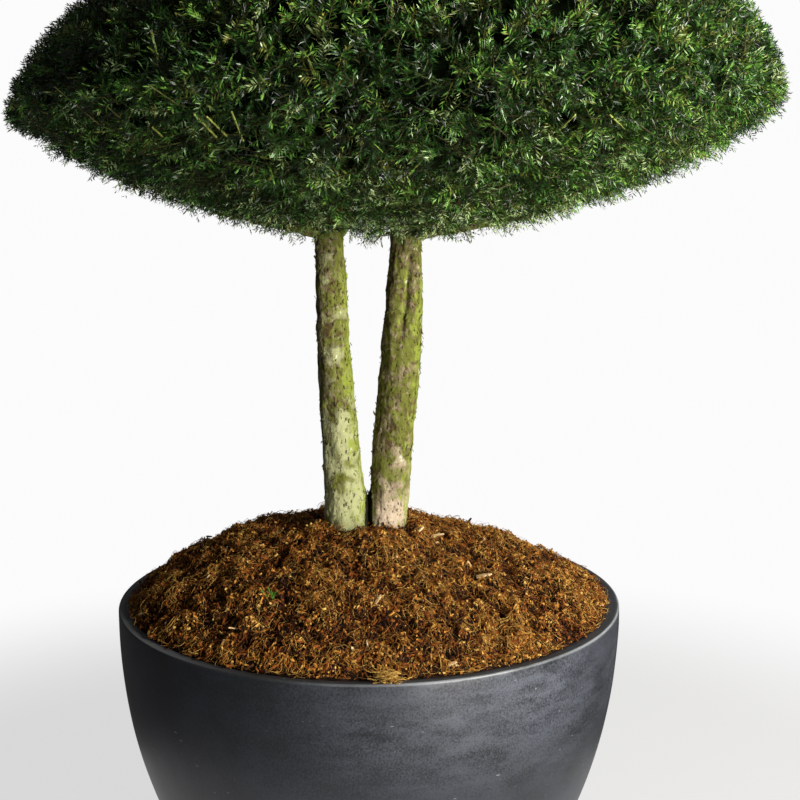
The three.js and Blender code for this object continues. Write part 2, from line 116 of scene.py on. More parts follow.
def add_node(tree: bpy.types.NodeTree, kind: Kind, inputs: dict | None = None, out: str | int = 0,
             **settings: str) -> bpy.types.NodeSocket:
    """Add a node with its settings and links.

    Args:
        tree: The node tree that the node joins.
        kind: The node's type.
        inputs: Socket name or index to a value, or to the output socket that feeds it.
        out: Name or index of the output to hand back.
        **settings: Properties of the node itself.

    Returns:
        The chosen output socket.
    """
    node = tree.nodes.new(kind.value)
    for name, value in settings.items():
        setattr(node, name, value)
    for name, value in (inputs or {}).items():
        if isinstance(value, bpy.types.NodeSocket):
            tree.links.new(value, node.inputs[name])
        else:
            node.inputs[name].default_value = value
    return node.outputs[out]


def new_material(name: str, **values: float) -> tuple[bpy.types.Material, bpy.types.NodeTree, bpy.types.Node]:
    """Start a node material.

    Args:
        name: The material's name.
        **values: Plain settings of its shader, with underscores for spaces.

    Returns:
        The material, its node tree and its shader.
    """
    material = bpy.data.materials.new(name)
    material.use_nodes = True
    shader = material.node_tree.nodes["Principled BSDF"]
    for socket, value in values.items():
        shader.inputs[socket.replace("_", " ")].default_value = value
    return material, material.node_tree, shader


class ValueNoise:
    """Smooth seeded noise, for relief that has to be real geometry."""

    SIZE = 32

    def __init__(self, seed: int) -> None:
        """Fill the lattice from a seed."""
        table = np.random.default_rng(seed).random((self.SIZE,) * 3)
        self.table = table * 2 - 1

    def sample(self, points: np.ndarray) -> np.ndarray:
        """Read the noise at points, one lattice cell per unit.

        Args:
            points: An array of shape (count, 3).

        Returns:
            Values from -1 to 1.
        """
        cell = np.floor(points).astype(int)
        part = points - cell
        part = part * part * (3 - 2 * part)
        total = np.zeros(len(points))
        for corner in np.ndindex(2, 2, 2):
            spot = (cell + corner) % self.SIZE
            weight = np.prod(np.where(corner, part, 1 - part), axis=1)
            total += weight * self.table[spot[:, 0], spot[:, 1], spot[:, 2]]
        return total

    def layers(self, points: np.ndarray, octaves: int) -> np.ndarray:
        """Sum octaves of the noise, each at half the size and half the strength of the last.

        Args:
            points: An array of shape (count, 3).
            octaves: How many.

        Returns:
            Values about 0, which pass 1 and -1 here and there.
        """
        total = np.zeros(len(points))
        for level in range(octaves):
            total += self.sample(points * 2**level + 7.3 * level) / 2**level
        return total


@dataclass
class Parcel:
    """Vertices and faces that are gathered for one piece."""

    points: list[np.ndarray] = field(default_factory=list)
    faces: list[np.ndarray] = field(default_factory=list)
    count: int = 0

    def add(self, points: np.ndarray, *faces: np.ndarray) -> None:
        """Add a batch.

        Args:
            points: Its points, in an array of any shape whose last axis is three.
            *faces: Its faces, counted from its own first point, in one array for each number of corners.
        """
        self.points.append(points.reshape(-1, 3))
        self.faces.extend(batch + self.count for batch in faces)
        self.count += len(self.points[-1])

    def build(self, name: str, material: bpy.types.Material, smooth: bool = False) -> bpy.types.Object:
        """Make one mesh object of everything gathered.

        Args:
            name: The piece's name.
            material: Its finish.
            smooth: Whether its faces are shaded smooth.

        Returns:
            The new object, linked to the scene.
        """
        points = np.concatenate(self.points).astype(np.float32)
        mesh = bpy.data.meshes.new(name)
        mesh.vertices.add(len(points))
        mesh.vertices.foreach_set("co", points.ravel())
        corners = [batch.ravel() for batch in self.faces]
        sizes = np.concatenate([np.full(len(batch), batch.shape[1]) for batch in self.faces])
        starts = np.concatenate([[0], np.cumsum(sizes)[:-1]]).astype(np.int32)
        mesh.loops.add(int(sizes.sum()))
        mesh.loops.foreach_set("vertex_index", np.concatenate(corners).astype(np.int32))
        mesh.polygons.add(len(sizes))
        mesh.polygons.foreach_set("loop_start", starts)
        mesh.polygons.foreach_set("use_smooth", np.full(len(sizes), smooth))
        mesh.update(calc_edges=True)
        mesh.materials.append(material)
        piece = bpy.data.objects.new(name, mesh)
        bpy.context.scene.collection.objects.link(piece)
        return piece


def place_piece(piece: bpy.types.Object, slot: str, *nodes: str) -> None:
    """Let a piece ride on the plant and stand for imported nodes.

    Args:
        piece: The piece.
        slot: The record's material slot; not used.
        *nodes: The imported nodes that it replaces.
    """
    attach(piece, ROOT)
    if nodes:
        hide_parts(*nodes)
    log.info("%s: %d faces", piece.name, len(piece.data.polygons))


def round_angles(count: int) -> np.ndarray:
    """Angles that go once round, evenly."""
    return np.linspace(0, 2 * math.pi, count, endpoint=False)


def outward(angle: np.ndarray) -> np.ndarray:
    """Level directions at angles from +X."""
    return np.stack([np.cos(angle), np.sin(angle), np.zeros_like(angle)], axis=-1)


def arc(start: np.ndarray, middle: np.ndarray, end: np.ndarray, steps: int) -> np.ndarray:
    """Points on a parabola from start to end that bends towards middle."""
    t = np.linspace(0, 1, steps)[:, None]
    return (1 - t) ** 2 * start + 2 * t * (1 - t) * middle + t * t * end


def grid_faces(rows: int, columns: int, closed: bool) -> np.ndarray:
    """Index the quads of a grid of points.

    Args:
        rows: Number of rings.
        columns: Points in each ring.
        closed: Whether each ring joins its own start.

    Returns:
        An array of quads.
    """
    row = np.arange(rows - 1)[:, None]
    column = np.arange(columns if closed else columns - 1)[None, :]
    after = (column + 1) % columns
    a = row * columns + column
    b = row * columns + after
    return np.stack([a, b, b + columns, a + columns], axis=-1).reshape(-1, 4)


def end_faces(rings: int, sides: int) -> tuple[np.ndarray, np.ndarray]:
    """Index the faces that close the first and the last ring of a stack."""
    ring = np.arange(sides)[None]
    return ring[:, ::-1], ring + (rings - 1) * sides


def repeated(faces: np.ndarray, count: int, stride: int) -> np.ndarray:
    """Repeat the faces of one shape for count shapes of its kind, each with stride points."""
    start = np.arange(count)[:, None, None] * stride
    return (start + faces).reshape(-1, faces.shape[1])


def thick_plates(outlines: np.ndarray, half: np.ndarray) -> tuple[np.ndarray, np.ndarray, np.ndarray]:
    """Give flat outlines a thickness.

    Args:
        outlines: Their corners, of shape (count, corners, 3).
        half: Half the thickness of each, as a vector across it.

    Returns:
        The plates' points, the quads of their edges, and their two faces.
    """
    count, corners = outlines.shape[:2]
    points = np.concatenate([outlines - half[:, None], outlines + half[:, None]], axis=1)
    edges, ends = grid_faces(2, corners, True), np.concatenate(end_faces(2, corners))
    return points, repeated(edges, count, 2 * corners), repeated(ends, count, 2 * corners)


def turned(profile: np.ndarray, segments: int) -> tuple[np.ndarray, np.ndarray]:
    """Turn a profile of radius and height about the vertical axis.

    Args:
        profile: Pairs of radius and height.
        segments: Points in each ring.

    Returns:
        Points of shape (rings, segments, 3) and the quads between them.
    """
    angle = round_angles(segments)
    radius = profile[:, 0][:, None]
    height = np.broadcast_to(profile[:, 1][:, None], (len(profile), segments))
    points = np.stack([radius * np.cos(angle), radius * np.sin(angle), height], axis=-1)
    return points, grid_faces(len(profile), segments, True)


# Finishes


@dataclass(frozen=True)
class MouldedComposite:
    """Fibre-reinforced mineral composite, moulded in one piece and left unpolished."""

    # To the eye: a matt grey that is nearly black, finely mottled by its filler, with a few pale scuffs. Paler smears
    # lie under the rim on the right, where the light falls, and so paint the sheen there too; the rim's corner there is
    # painted paler as a highlight, and faces that look up are paler grey, most on the left.
    name: str = "moulded_fibre_composite"
    dark: str = "1d1f22"
    pale: str = "2f323a"
    # paler smears, which on the lit right side also paint the sheen
    smears_and_sheen: str = "5d616b"
    # the paler colour of the painted highlight on the rim's corner, and of the pale scuffs
    worn: str = "a3a7ab"
    # a paler grey laid on faces that look up, most on the left
    upward_grey: str = "72757a"
    grain_mm: float = 3.4  # the filler's grain is under a millimetre, drawn coarser so that it shows
    cloud_mm: float = 110.0
    wipe_mm: float = 75.0
    wipe_stretch: float = 3.4  # hands wipe round the bowl, so a smear is this much longer than high
    scuff_mm: float = 22.0
    rim_height: float = 0.655
    rim_radius: float = 0.532
    bloom_from: float = 0.30  # under the rim, where the bloom begins and where it is full
    bloom_full: float = 0.05
    lit_side_from: float = -0.25  # across the bowl, where the smears and painted sheen of the lit right side begin, are full, end and have ended
    lit_side_full: float = 0.32
    lit_side_past: float = 0.34
    handled_over: float = 0.48
    corner_highlight_from: float = -0.20  # across the bowl, where the painted highlight on the rim's corner begins and where it is full
    corner_highlight_full: float = 0.14
    corner_from: float = 0.005  # in from the rim's corner, where the painted highlight and the lower roughness begin and are full
    corner_full: float = 0.002
    grey_full_to: float = -0.44  # across the bowl, up to where faces that look up are fully paler grey, and from where only a little
    grey_thin_from: float = -0.20

    def build(self) -> bpy.types.Material:
        """Make the material.

        Returns:
            The new material.
        """
        material, tree, shader = new_material(self.name)
        place = add_node(tree, Kind.COORDINATES, out="Object")
        level = add_node(tree, Kind.MAPPING, {"Vector": place, "Scale": (1.0, 1.0, self.wipe_stretch)})
        grain = add_node(tree, Kind.NOISE, {"Vector": place, "Scale": per_mm(self.grain_mm), "Detail": 3.0})
        clouds = add_node(tree, Kind.NOISE, {"Vector": place, "Scale": per_mm(self.cloud_mm), "Detail": 4.0})
        wipes = add_node(tree, Kind.NOISE, {"Vector": level, "Scale": per_mm(self.wipe_mm), "Detail": 7.0})
        scuffs = add_node(tree, Kind.NOISE, {"Vector": level, "Scale": per_mm(self.scuff_mm), "Detail": 1.0})
        height = add_node(tree, Kind.SPLIT, {0: place}, "Z")
        across = add_node(tree, Kind.SPLIT, {0: place}, "X")

        # The mottled ground
        mottle = add_node(tree, Kind.MATH, {0: grain, 1: clouds}, **PLUS)
        mottled = add_node(tree, Kind.RANGE, {0: mottle, 1: 0.72, 2: 1.30}, **EASED)
        ground = add_node(tree, Kind.MIX, {0: mottled, 6: linear(self.dark), 7: linear(self.pale)}, **COLOURS)

        # Paler smears under the rim, on the lit right side, where they also paint the sheen
        below = {1: self.rim_height - self.bloom_from, 2: self.rim_height - self.bloom_full}
        upper = add_node(tree, Kind.RANGE, {0: height} | below, **EASED)
        near = add_node(tree, Kind.RANGE, {0: across, 1: self.lit_side_from, 2: self.lit_side_full}, **EASED)
        past = {1: self.lit_side_past, 2: self.handled_over, 3: 1.0, 4: 0.40}
        beyond = add_node(tree, Kind.RANGE, {0: across} | past, **EASED)
        lit_side_share = add_node(tree, Kind.MATH, {0: near, 1: beyond}, **TIMES)
        dusty = add_node(tree, Kind.MATH, {0: wipes, 1: grain}, **PLUS)
        smeared = add_node(tree, Kind.RANGE, {0: dusty, 1: 0.70, 2: 1.30, 4: 0.88}, **EASED)
        under_rim_on_lit_side = add_node(tree, Kind.MATH, {0: upper, 1: lit_side_share}, **TIMES)
        smears_and_sheen = add_node(tree, Kind.MATH, {0: under_rim_on_lit_side, 1: smeared}, **TIMES)
        smeared_and_lit = add_node(tree, Kind.MIX, {0: smears_and_sheen, 6: ground, 7: linear(self.smears_and_sheen)}, **COLOURS)

        # A painted highlight on the rim's corner on the right, and pale scuffs
        flat = add_node(tree, Kind.VECTOR, {0: place, 1: (1.0, 1.0, 0.0)}, **TIMES)
        reach = add_node(tree, Kind.VECTOR, {0: flat}, "Value", operation="LENGTH")
        outside = {1: self.rim_radius - self.corner_from, 2: self.rim_radius - self.corner_full}
        outer = add_node(tree, Kind.RANGE, {0: reach} | outside)
        on_top = {1: self.rim_height - self.corner_from, 2: self.rim_height - self.corner_full}
        high = add_node(tree, Kind.RANGE, {0: height} | on_top)
        corner = add_node(tree, Kind.MATH, {0: outer, 1: high}, **TIMES)
        highlight_span = {1: self.corner_highlight_from, 2: self.corner_highlight_full, 3: 0.05, 4: 1.0}
        highlight_side = add_node(tree, Kind.RANGE, {0: across} | highlight_span, **EASED)
        edge = add_node(tree, Kind.MATH, {0: corner, 1: highlight_side}, **TIMES)
        corner_highlight = add_node(tree, Kind.MATH, {0: edge, 1: wipes}, **TIMES)
        scratched = add_node(tree, Kind.RANGE, {0: scuffs, 1: 0.765, 2: 0.80, 4: 0.4}, **EASED)
        highlight_and_scuffs = add_node(tree, Kind.MATH, {0: corner_highlight, 1: scratched}, operation="MAXIMUM")

        # Paler grey on what faces up, most on the left
        normal = add_node(tree, Kind.GEOMETRY, out="Normal")
        upward = add_node(tree, Kind.SPLIT, {0: normal}, "Z")
        lying = add_node(tree, Kind.RANGE, {0: upward, 1: 0.80, 2: 0.97, 4: 0.8}, **EASED)
        grey_span = {1: self.grey_full_to, 2: self.grey_thin_from, 3: 0.9, 4: 0.10}
        # the share of that grey: full on the left, small from the middle rightward
        still = add_node(tree, Kind.RANGE, {0: across} | grey_span, **EASED)
        upward_grey_share = add_node(tree, Kind.MATH, {0: lying, 1: still}, **TIMES)
        greyed = add_node(tree, Kind.MIX, {0: upward_grey_share, 6: smeared_and_lit, 7: linear(self.upward_grey)}, **COLOURS)

        colour = add_node(tree, Kind.MIX, {0: highlight_and_scuffs, 6: greyed, 7: linear(self.worn)}, **COLOURS)
        polished = add_node(tree, Kind.RANGE, {0: edge, 3: 0.46, 4: 0.30})
        matt = add_node(tree, Kind.RANGE, {0: lying, 4: 0.30})
        roughness = add_node(tree, Kind.MATH, {0: polished, 1: matt}, **PLUS)
        relief = add_node(tree, Kind.BUMP, {"Height": grain, "Strength": 0.25, "Distance": 0.3 * MM})
        tree.links.new(colour, shader.inputs["Base Color"])
        tree.links.new(roughness, shader.inputs["Roughness"])
        tree.links.new(relief, shader.inputs["Normal"])
        return material


@dataclass(frozen=True)
class Fibre:
    """Dry plant fibre or wood, torn, split or shredded."""

    # To the eye: dull, with each strand a little lighter or darker along itself
    name: str
    dark: str
    pale: str
    grain_mm: float = 6.0
    roughness: float = 0.85
    sheen: float = 0.25

    def build(self) -> bpy.types.Material:
        """Make the material.

        Returns:
            The new material.
        """
        material, tree, shader = new_material(self.name, Roughness=self.roughness, Specular_IOR_Level=self.sheen)
        place = add_node(tree, Kind.COORDINATES, out="Object")
        grain = add_node(tree, Kind.NOISE, {"Vector": place, "Scale": per_mm(self.grain_mm), "Detail": 4.0})
        share = add_node(tree, Kind.RANGE, {0: grain, 1: 0.33, 2: 0.66}, **EASED)
        colour = add_node(tree, Kind.MIX, {0: share, 6: linear(self.dark), 7: linear(self.pale)}, **COLOURS)
        relief = add_node(tree, Kind.BUMP, {"Height": grain, "Strength": 0.5, "Distance": 0.6 * MM})
        tree.links.new(colour, shader.inputs["Base Color"])
        tree.links.new(relief, shader.inputs["Normal"])
        return material


@dataclass(frozen=True)
class Film:
    """One layer of a bark's colour, where a weighted sum of the fields rises from low to high."""

    colour: str
    fields: dict[str, float]
    low: float
    high: float
    most: float = 1.0


@dataclass(frozen=True)
class YewBark:
    """Living yew bark, which flakes off in thin plates, grown over with algae, moss and lichen."""

    # To the eye: beige and pink plates in patches, red-brown where flakes fell, under a film of yellow-green whose
    # brighter lime lies thicker on faces turned to the light, partly algae and partly painted light. Both feet are bare
    # and pale, lime on the left trunk and cream on the right, and the gap between the feet is darkened as painted
    # shade.
    name: str = "yew_bark"
    plate: str = "8d8064"
    brown: str = "54412a"
    pink: str = "b0957d"
    moss: str = "454f1c"
    algae: str = "6c722c"
    bright: str = "8c9a38"
    lime: str = "b2b685"
    cream: str = "d0bba4"
    # near black: the painted shade in the gap between the feet
    seam: str = "0f0b06"
    lichen: str = "dfe2d0"
    scar: str = "241a10"
    patch_mm: float = 40.0
    plate_mm: float = 15.0
    streak_mm: float = 9.0
    dab_mm: float = 5.0
    crack_mm: float = 7.0  # cracks are a millimetre or two wide, drawn coarser so that they show
    stretch: float = 0.68  # plates are longer along the trunk than across it
    crack_stretch: float = 0.8
    foot: float = 0.80
    foot_reach: float = 0.36
    sides_meet: float = 0.02  # how far either side of the middle one trunk's colour gives way to the other's
    gap_shade_at: float = -0.002  # painted shade in the gap between the feet
    gap_shade_reach: float = 0.016
    gap_shade_core: float = 0.005

    def build(self) -> bpy.types.Material:
        """Make the material.

        Returns:
            The new material.
        """
        material, tree, shader = new_material(self.name, Roughness=0.85, Specular_IOR_Level=0.2)
        fields = self.fields(tree)
        colour = linear(self.brown)
        for film in self.films():
            value = None
            for name, weight in film.fields.items():
                part = add_node(tree, Kind.MATH, {0: fields[name], 1: weight}, **TIMES)
                value = part if value is None else add_node(tree, Kind.MATH, {0: value, 1: part}, **PLUS)
            share = add_node(tree, Kind.RANGE, {0: value, 1: film.low, 2: film.high, 4: film.most}, **EASED)
            colour = add_node(tree, Kind.MIX, {0: share, 6: colour, 7: linear(film.colour)}, **COLOURS)
        raised = add_node(tree, Kind.MATH, {0: fields["plates"], 1: fields["dabs"]}, **PLUS)
        worn = add_node(tree, Kind.MATH, {0: raised, 1: fields["cracks"]}, operation="SUBTRACT")
        relief = add_node(tree, Kind.BUMP, {"Height": worn, "Strength": 0.8, "Distance": 1.8 * MM})
        tree.links.new(colour, shader.inputs["Base Color"])
        tree.links.new(relief, shader.inputs["Normal"])
        return material

    def fields(self, tree: bpy.types.NodeTree) -> dict[str, bpy.types.NodeSocket]:
        """Make what the films are dealt by.

        Args:
            tree: The material's node tree.

        Returns:
            Name to output: noises of several sizes, and where on the trunks a point lies.
        """
        place = add_node(tree, Kind.COORDINATES, out="Object")
        along = add_node(tree, Kind.MAPPING, {"Vector": place, "Scale": (1.0, 1.0, self.stretch)})
        sizes = {"patches": self.patch_mm, "plates": self.plate_mm, "streaks": self.streak_mm, "dabs": self.dab_mm}
        fields = {}
        for name, size in sizes.items():
            source = place if name == "patches" else along
            settings = {"Vector": source, "Scale": per_mm(size), "Detail": 5.0, "Distortion": 0.6}
            fields[name] = add_node(tree, Kind.NOISE, settings)
        split = {"Vector": place, "Scale": (1.0, 1.0, self.stretch * self.crack_stretch)}
        cracks = {"Vector": add_node(tree, Kind.MAPPING, split), "Scale": per_mm(self.crack_mm), "Detail": 4.0}
        fields["cracks"] = add_node(tree, Kind.NOISE, cracks)
        normal = add_node(tree, Kind.GEOMETRY, out="Normal")
        # how far each face turns to the right, towards the lamps: the films that read it are laid thicker there as
        # painted light
        fields["sunny"] = add_node(tree, Kind.SPLIT, {0: normal}, "X")
        height = add_node(tree, Kind.SPLIT, {0: place}, "Z")
        fields["low"] = add_node(tree, Kind.RANGE, {0: height, 1: self.foot + self.foot_reach, 2: self.foot})
        across = add_node(tree, Kind.SPLIT, {0: place}, "X")
        fields["left"] = add_node(tree, Kind.RANGE, {0: across, 1: self.sides_meet, 2: -self.sides_meet})
        aside = add_node(tree, Kind.MATH, {0: across, 1: self.gap_shade_at}, operation="SUBTRACT")
        distance = add_node(tree, Kind.MATH, {0: aside}, operation="ABSOLUTE")
        fields["between"] = add_node(tree, Kind.RANGE, {0: distance, 1: self.gap_shade_reach, 2: self.gap_shade_core})
        return fields

    def films(self) -> list[Film]:
        """List what lies over the brown ground.

        Returns:
            The films, from the lowest up.
        """
        return [
            Film(self.plate, {"plates": 1.0}, 0.44, 0.58),
            Film(self.pink, {"patches": 1.0, "dabs": 0.3, "low": 0.06}, 0.70, 0.84, 0.75),
            Film(self.algae, {"streaks": 1.0, "patches": -0.6, "sunny": 0.06}, 0.10, 0.26, 0.9),
            Film(self.moss, {"dabs": 1.0, "patches": 0.8}, 0.92, 1.08, 0.7),
            Film(self.lime, {"low": 0.32, "patches": 1.3, "left": 0.30}, 0.96, 1.24, 0.85),
            Film(self.cream, {"low": 0.80, "patches": 0.8, "left": -0.8}, 0.85, 1.18, 0.85),
            # brighter lime, thicker on faces turned to the light: partly algae, partly painted light
            Film(self.bright, {"plates": 0.8, "dabs": 0.5, "sunny": 0.30}, 0.82, 1.00, 0.85),
            Film(self.brown, {"dabs": 1.0, "streaks": 0.5}, 0.85, 0.97, 0.7),
            Film(self.lichen, {"patches": 1.0, "plates": 0.8, "sunny": 0.10}, 1.19, 1.27, 0.8),
            Film(self.scar, {"cracks": 1.0}, 0.60, 0.69, 0.9),
            # the gap between the feet darkened as painted shade
            Film(self.seam, {"between": 1.0, "low": 0.9, "dabs": 0.6}, 1.62, 2.00, 0.97),
        ]


@dataclass(frozen=True)
class YewNeedle:
    """Living yew needles, as they grew, with their natural wax."""

    # To the eye: leathery and dark, with a soft gloss that turns pale where the light glances off
    name: str
    dark: str
    pale: str
    variation_mm: float = 24.0
    roughness: float = 0.34

    def build(self) -> bpy.types.Material:
        """Make the material.

        Returns:
            The new material.
        """
        material, tree, shader = new_material(self.name, Roughness=self.roughness, Specular_IOR_Level=0.55)
        place = add_node(tree, Kind.COORDINATES, out="Object")
        patch = add_node(tree, Kind.NOISE, {"Vector": place, "Scale": per_mm(self.variation_mm), "Detail": 4.0})
        share = add_node(tree, Kind.RANGE, {0: patch, 1: 0.35, 2: 0.65}, **EASED)
        colour = add_node(tree, Kind.MIX, {0: share, 6: linear(self.dark), 7: linear(self.pale)}, **COLOURS)
        tree.links.new(colour, shader.inputs["Base Color"])
        return material


@dataclass(frozen=True)
class PaintedFloor:
    """A studio floor, rolled with matt off-white emulsion paint."""

    # To the eye: bright and even, without gloss, and washed out to white far from the plant
    name: str = "painted_floor"
    colour: str = "7f7f7e"
    near_glow: float = 0.66
    far_glow: float = 0.97
    washed_from: float = 1.3
    washed_to: float = 2.5

    def build(self) -> bpy.types.Material:
        """Make the material.

        Returns:
            The new material.
        """
        material, tree, shader = new_material(self.name, Roughness=0.7, Specular_IOR_Level=0.0)
        shader.inputs["Emission Color"].default_value = linear("ffffff")
        place = add_node(tree, Kind.COORDINATES, out="Object")
        reach = add_node(tree, Kind.VECTOR, {0: place}, "Value", operation="LENGTH")
        spread = {0: reach, 1: self.washed_from, 2: self.washed_to}
        washed = add_node(tree, Kind.RANGE, spread, **EASED)
        glow = add_node(tree, Kind.RANGE, spread | {3: self.near_glow, 4: self.far_glow}, **EASED)
        colour = add_node(tree, Kind.MIX, {0: washed, 6: linear(self.colour), 7: linear("000000")}, **COLOURS)
        tree.links.new(colour, shader.inputs["Base Color"])
        tree.links.new(glow, shader.inputs["Emission Strength"])
        return material


class NeedleTint(Enum):
    """The colours of foliage, dealt out by spray."""

    SHADE = YewNeedle("yew_needles_shade", "0a1806", "13290c")
    DEEP = YewNeedle("yew_needles_deep", "173410", "29501c")
    LEAF = YewNeedle("yew_needles_leaf", "2f581d", "487828")
    FRESH = YewNeedle("yew_needles_fresh", "568a32", "86b04a")
    OLIVE = YewNeedle("yew_needles_olive", "525a22", "888b40")
    PALE = YewNeedle("yew_needles_pale", "789a5e", "b6cb8c")


class FibreTint(Enum):
    """The kinds of strand in the mulch."""

    UMBER = Fibre("bark_fibre_umber", "2a1407", "4a2810")
    RUSSET = Fibre("bark_fibre_russet", "6a360f", "96541c")
    TAN = Fibre("coir_fibre_tan", "9a6526", "c98f3c")
    GOLD = Fibre("coir_fibre_gold", "c0903f", "e6bd68")


# The bowl


@dataclass
class Bowl:
    """The wide planter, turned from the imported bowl's own profile."""

    rim_radius: float = 0.532
    height: float = 0.655
    swell: float = 0.760
    straight_below: float = 0.120
    foot_round: float = 0.014
    lip_width: float = 0.030
    lip_fall: float = 0.004
    edge_round: float = 0.0035
    wall: float = 0.030
    floor: float = 0.032
    segments: int = 224
    uneven: float = 0.0008
    uneven_size: float = 0.13

    def ellipse(self, z: np.ndarray | float) -> np.ndarray | float:
        """Radius of the ellipse that the wall follows."""
        drop = (self.height - z) / self.swell
        return self.rim_radius * np.sqrt(1 - drop * drop)

    def wall_radius(self, z: np.ndarray | float) -> np.ndarray | float:
        """Outer radius at a height: the ellipse, and under it a straight run in its direction.

        Args:
            z: Heights over the floor.

        Returns:
            The radius at each.
        """
        low, step = self.straight_below, 0.001
        slope = (self.ellipse(low + step) - self.ellipse(low)) / step
        return np.where(z >= low, self.ellipse(np.maximum(z, low)), self.ellipse(low) - slope * (low - z))

    def cavity_radius(self, z: np.ndarray | float) -> np.ndarray | float:
        """Inner radius at a height."""
        return self.wall_radius(z) - self.wall

    def profile(self) -> np.ndarray:
        """Outline of the whole section, from the axis underneath round to the axis inside.

        Returns:
            Pairs of radius and height.
        """
        turn = np.linspace(0, math.pi / 2, 7)
        foot = float(self.wall_radius(0.0)) - self.foot_round
        lift = float(self.wall_radius(self.foot_round)) - foot
        base = [(0.0, 0.0), (foot * 0.5, 0.0), (foot * 0.96, 0.0)]
        rounding = [(foot + lift * math.sin(a), self.foot_round * (1 - math.cos(a))) for a in turn]
        top = self.height - self.edge_round
        outside = [(float(self.wall_radius(z)), z) for z in np.linspace(self.foot_round, top, 46)[1:]]
        centre = self.rim_radius - self.edge_round
        edge = [(centre + self.edge_round * math.cos(a), top + self.edge_round * math.sin(a)) for a in turn[1:]]
        inner = self.rim_radius - self.lip_width
        inner_top = self.height - self.lip_fall
        lip = [(mix(centre, inner + 0.003, t), mix(self.height, inner_top, t)) for t in (0.25, 0.5, 0.75, 1.0)]
        lip += [(inner + 0.0008, inner_top - 0.0008), (inner, inner_top - 0.003)]
        inside = [(float(self.cavity_radius(z)), z) for z in np.linspace(inner_top - 0.02, self.floor, 20)]
        return np.array([*base, *rounding, *outside, *edge, *lip, *inside, (0.0, self.floor)])

    def dress(self) -> None:
        """Build the bowl, whose wall is a little uneven, and its finish."""
        points, faces = turned(self.profile(), self.segments)
        flat = points.reshape(-1, 3)
        swell = ValueNoise(11).layers(flat / self.uneven_size, 2) * self.uneven
        on_wall = smooth_step(0.01, 0.05, flat[:, 2]) * smooth_step(self.height, self.height - 0.03, flat[:, 2])
        flat = flat + unit(flat * np.array([1.0, 1.0, 0.0])) * (swell * on_wall)[:, None]
        parcel = Parcel()
        parcel.add(flat, faces)
        place_piece(parcel.build("bowl", MouldedComposite().build(), smooth=True), "planter", "pot")


# The mulch


@dataclass(frozen=True)
class Shred:
    """One kind of stuff in the mulch, with its sizes in metres."""

    tint: FibreTint
    share: float
    high: float  # how strongly it keeps to the lumps, or below 0 to the hollows
    width: tuple[float, float]
    curl: float
    length: tuple[float, float]
    crumb: tuple[float, float]


SHREDS = (
    Shred(FibreTint.UMBER, 0.20, -0.6, (0.0012, 0.0030), 1.5, (0.009, 0.028), (0.005, 0.019)),
    Shred(FibreTint.RUSSET, 0.32, 0.1, (0.0012, 0.0026), 2.2, (0.009, 0.030), (0.004, 0.017)),
    Shred(FibreTint.TAN, 0.30, 0.7, (0.0009, 0.0017), 3.4, (0.010, 0.034), (0.003, 0.012)),
    Shred(FibreTint.GOLD, 0.18, 1.1, (0.0008, 0.0014), 3.8, (0.012, 0.040), (0.003, 0.010)),
)


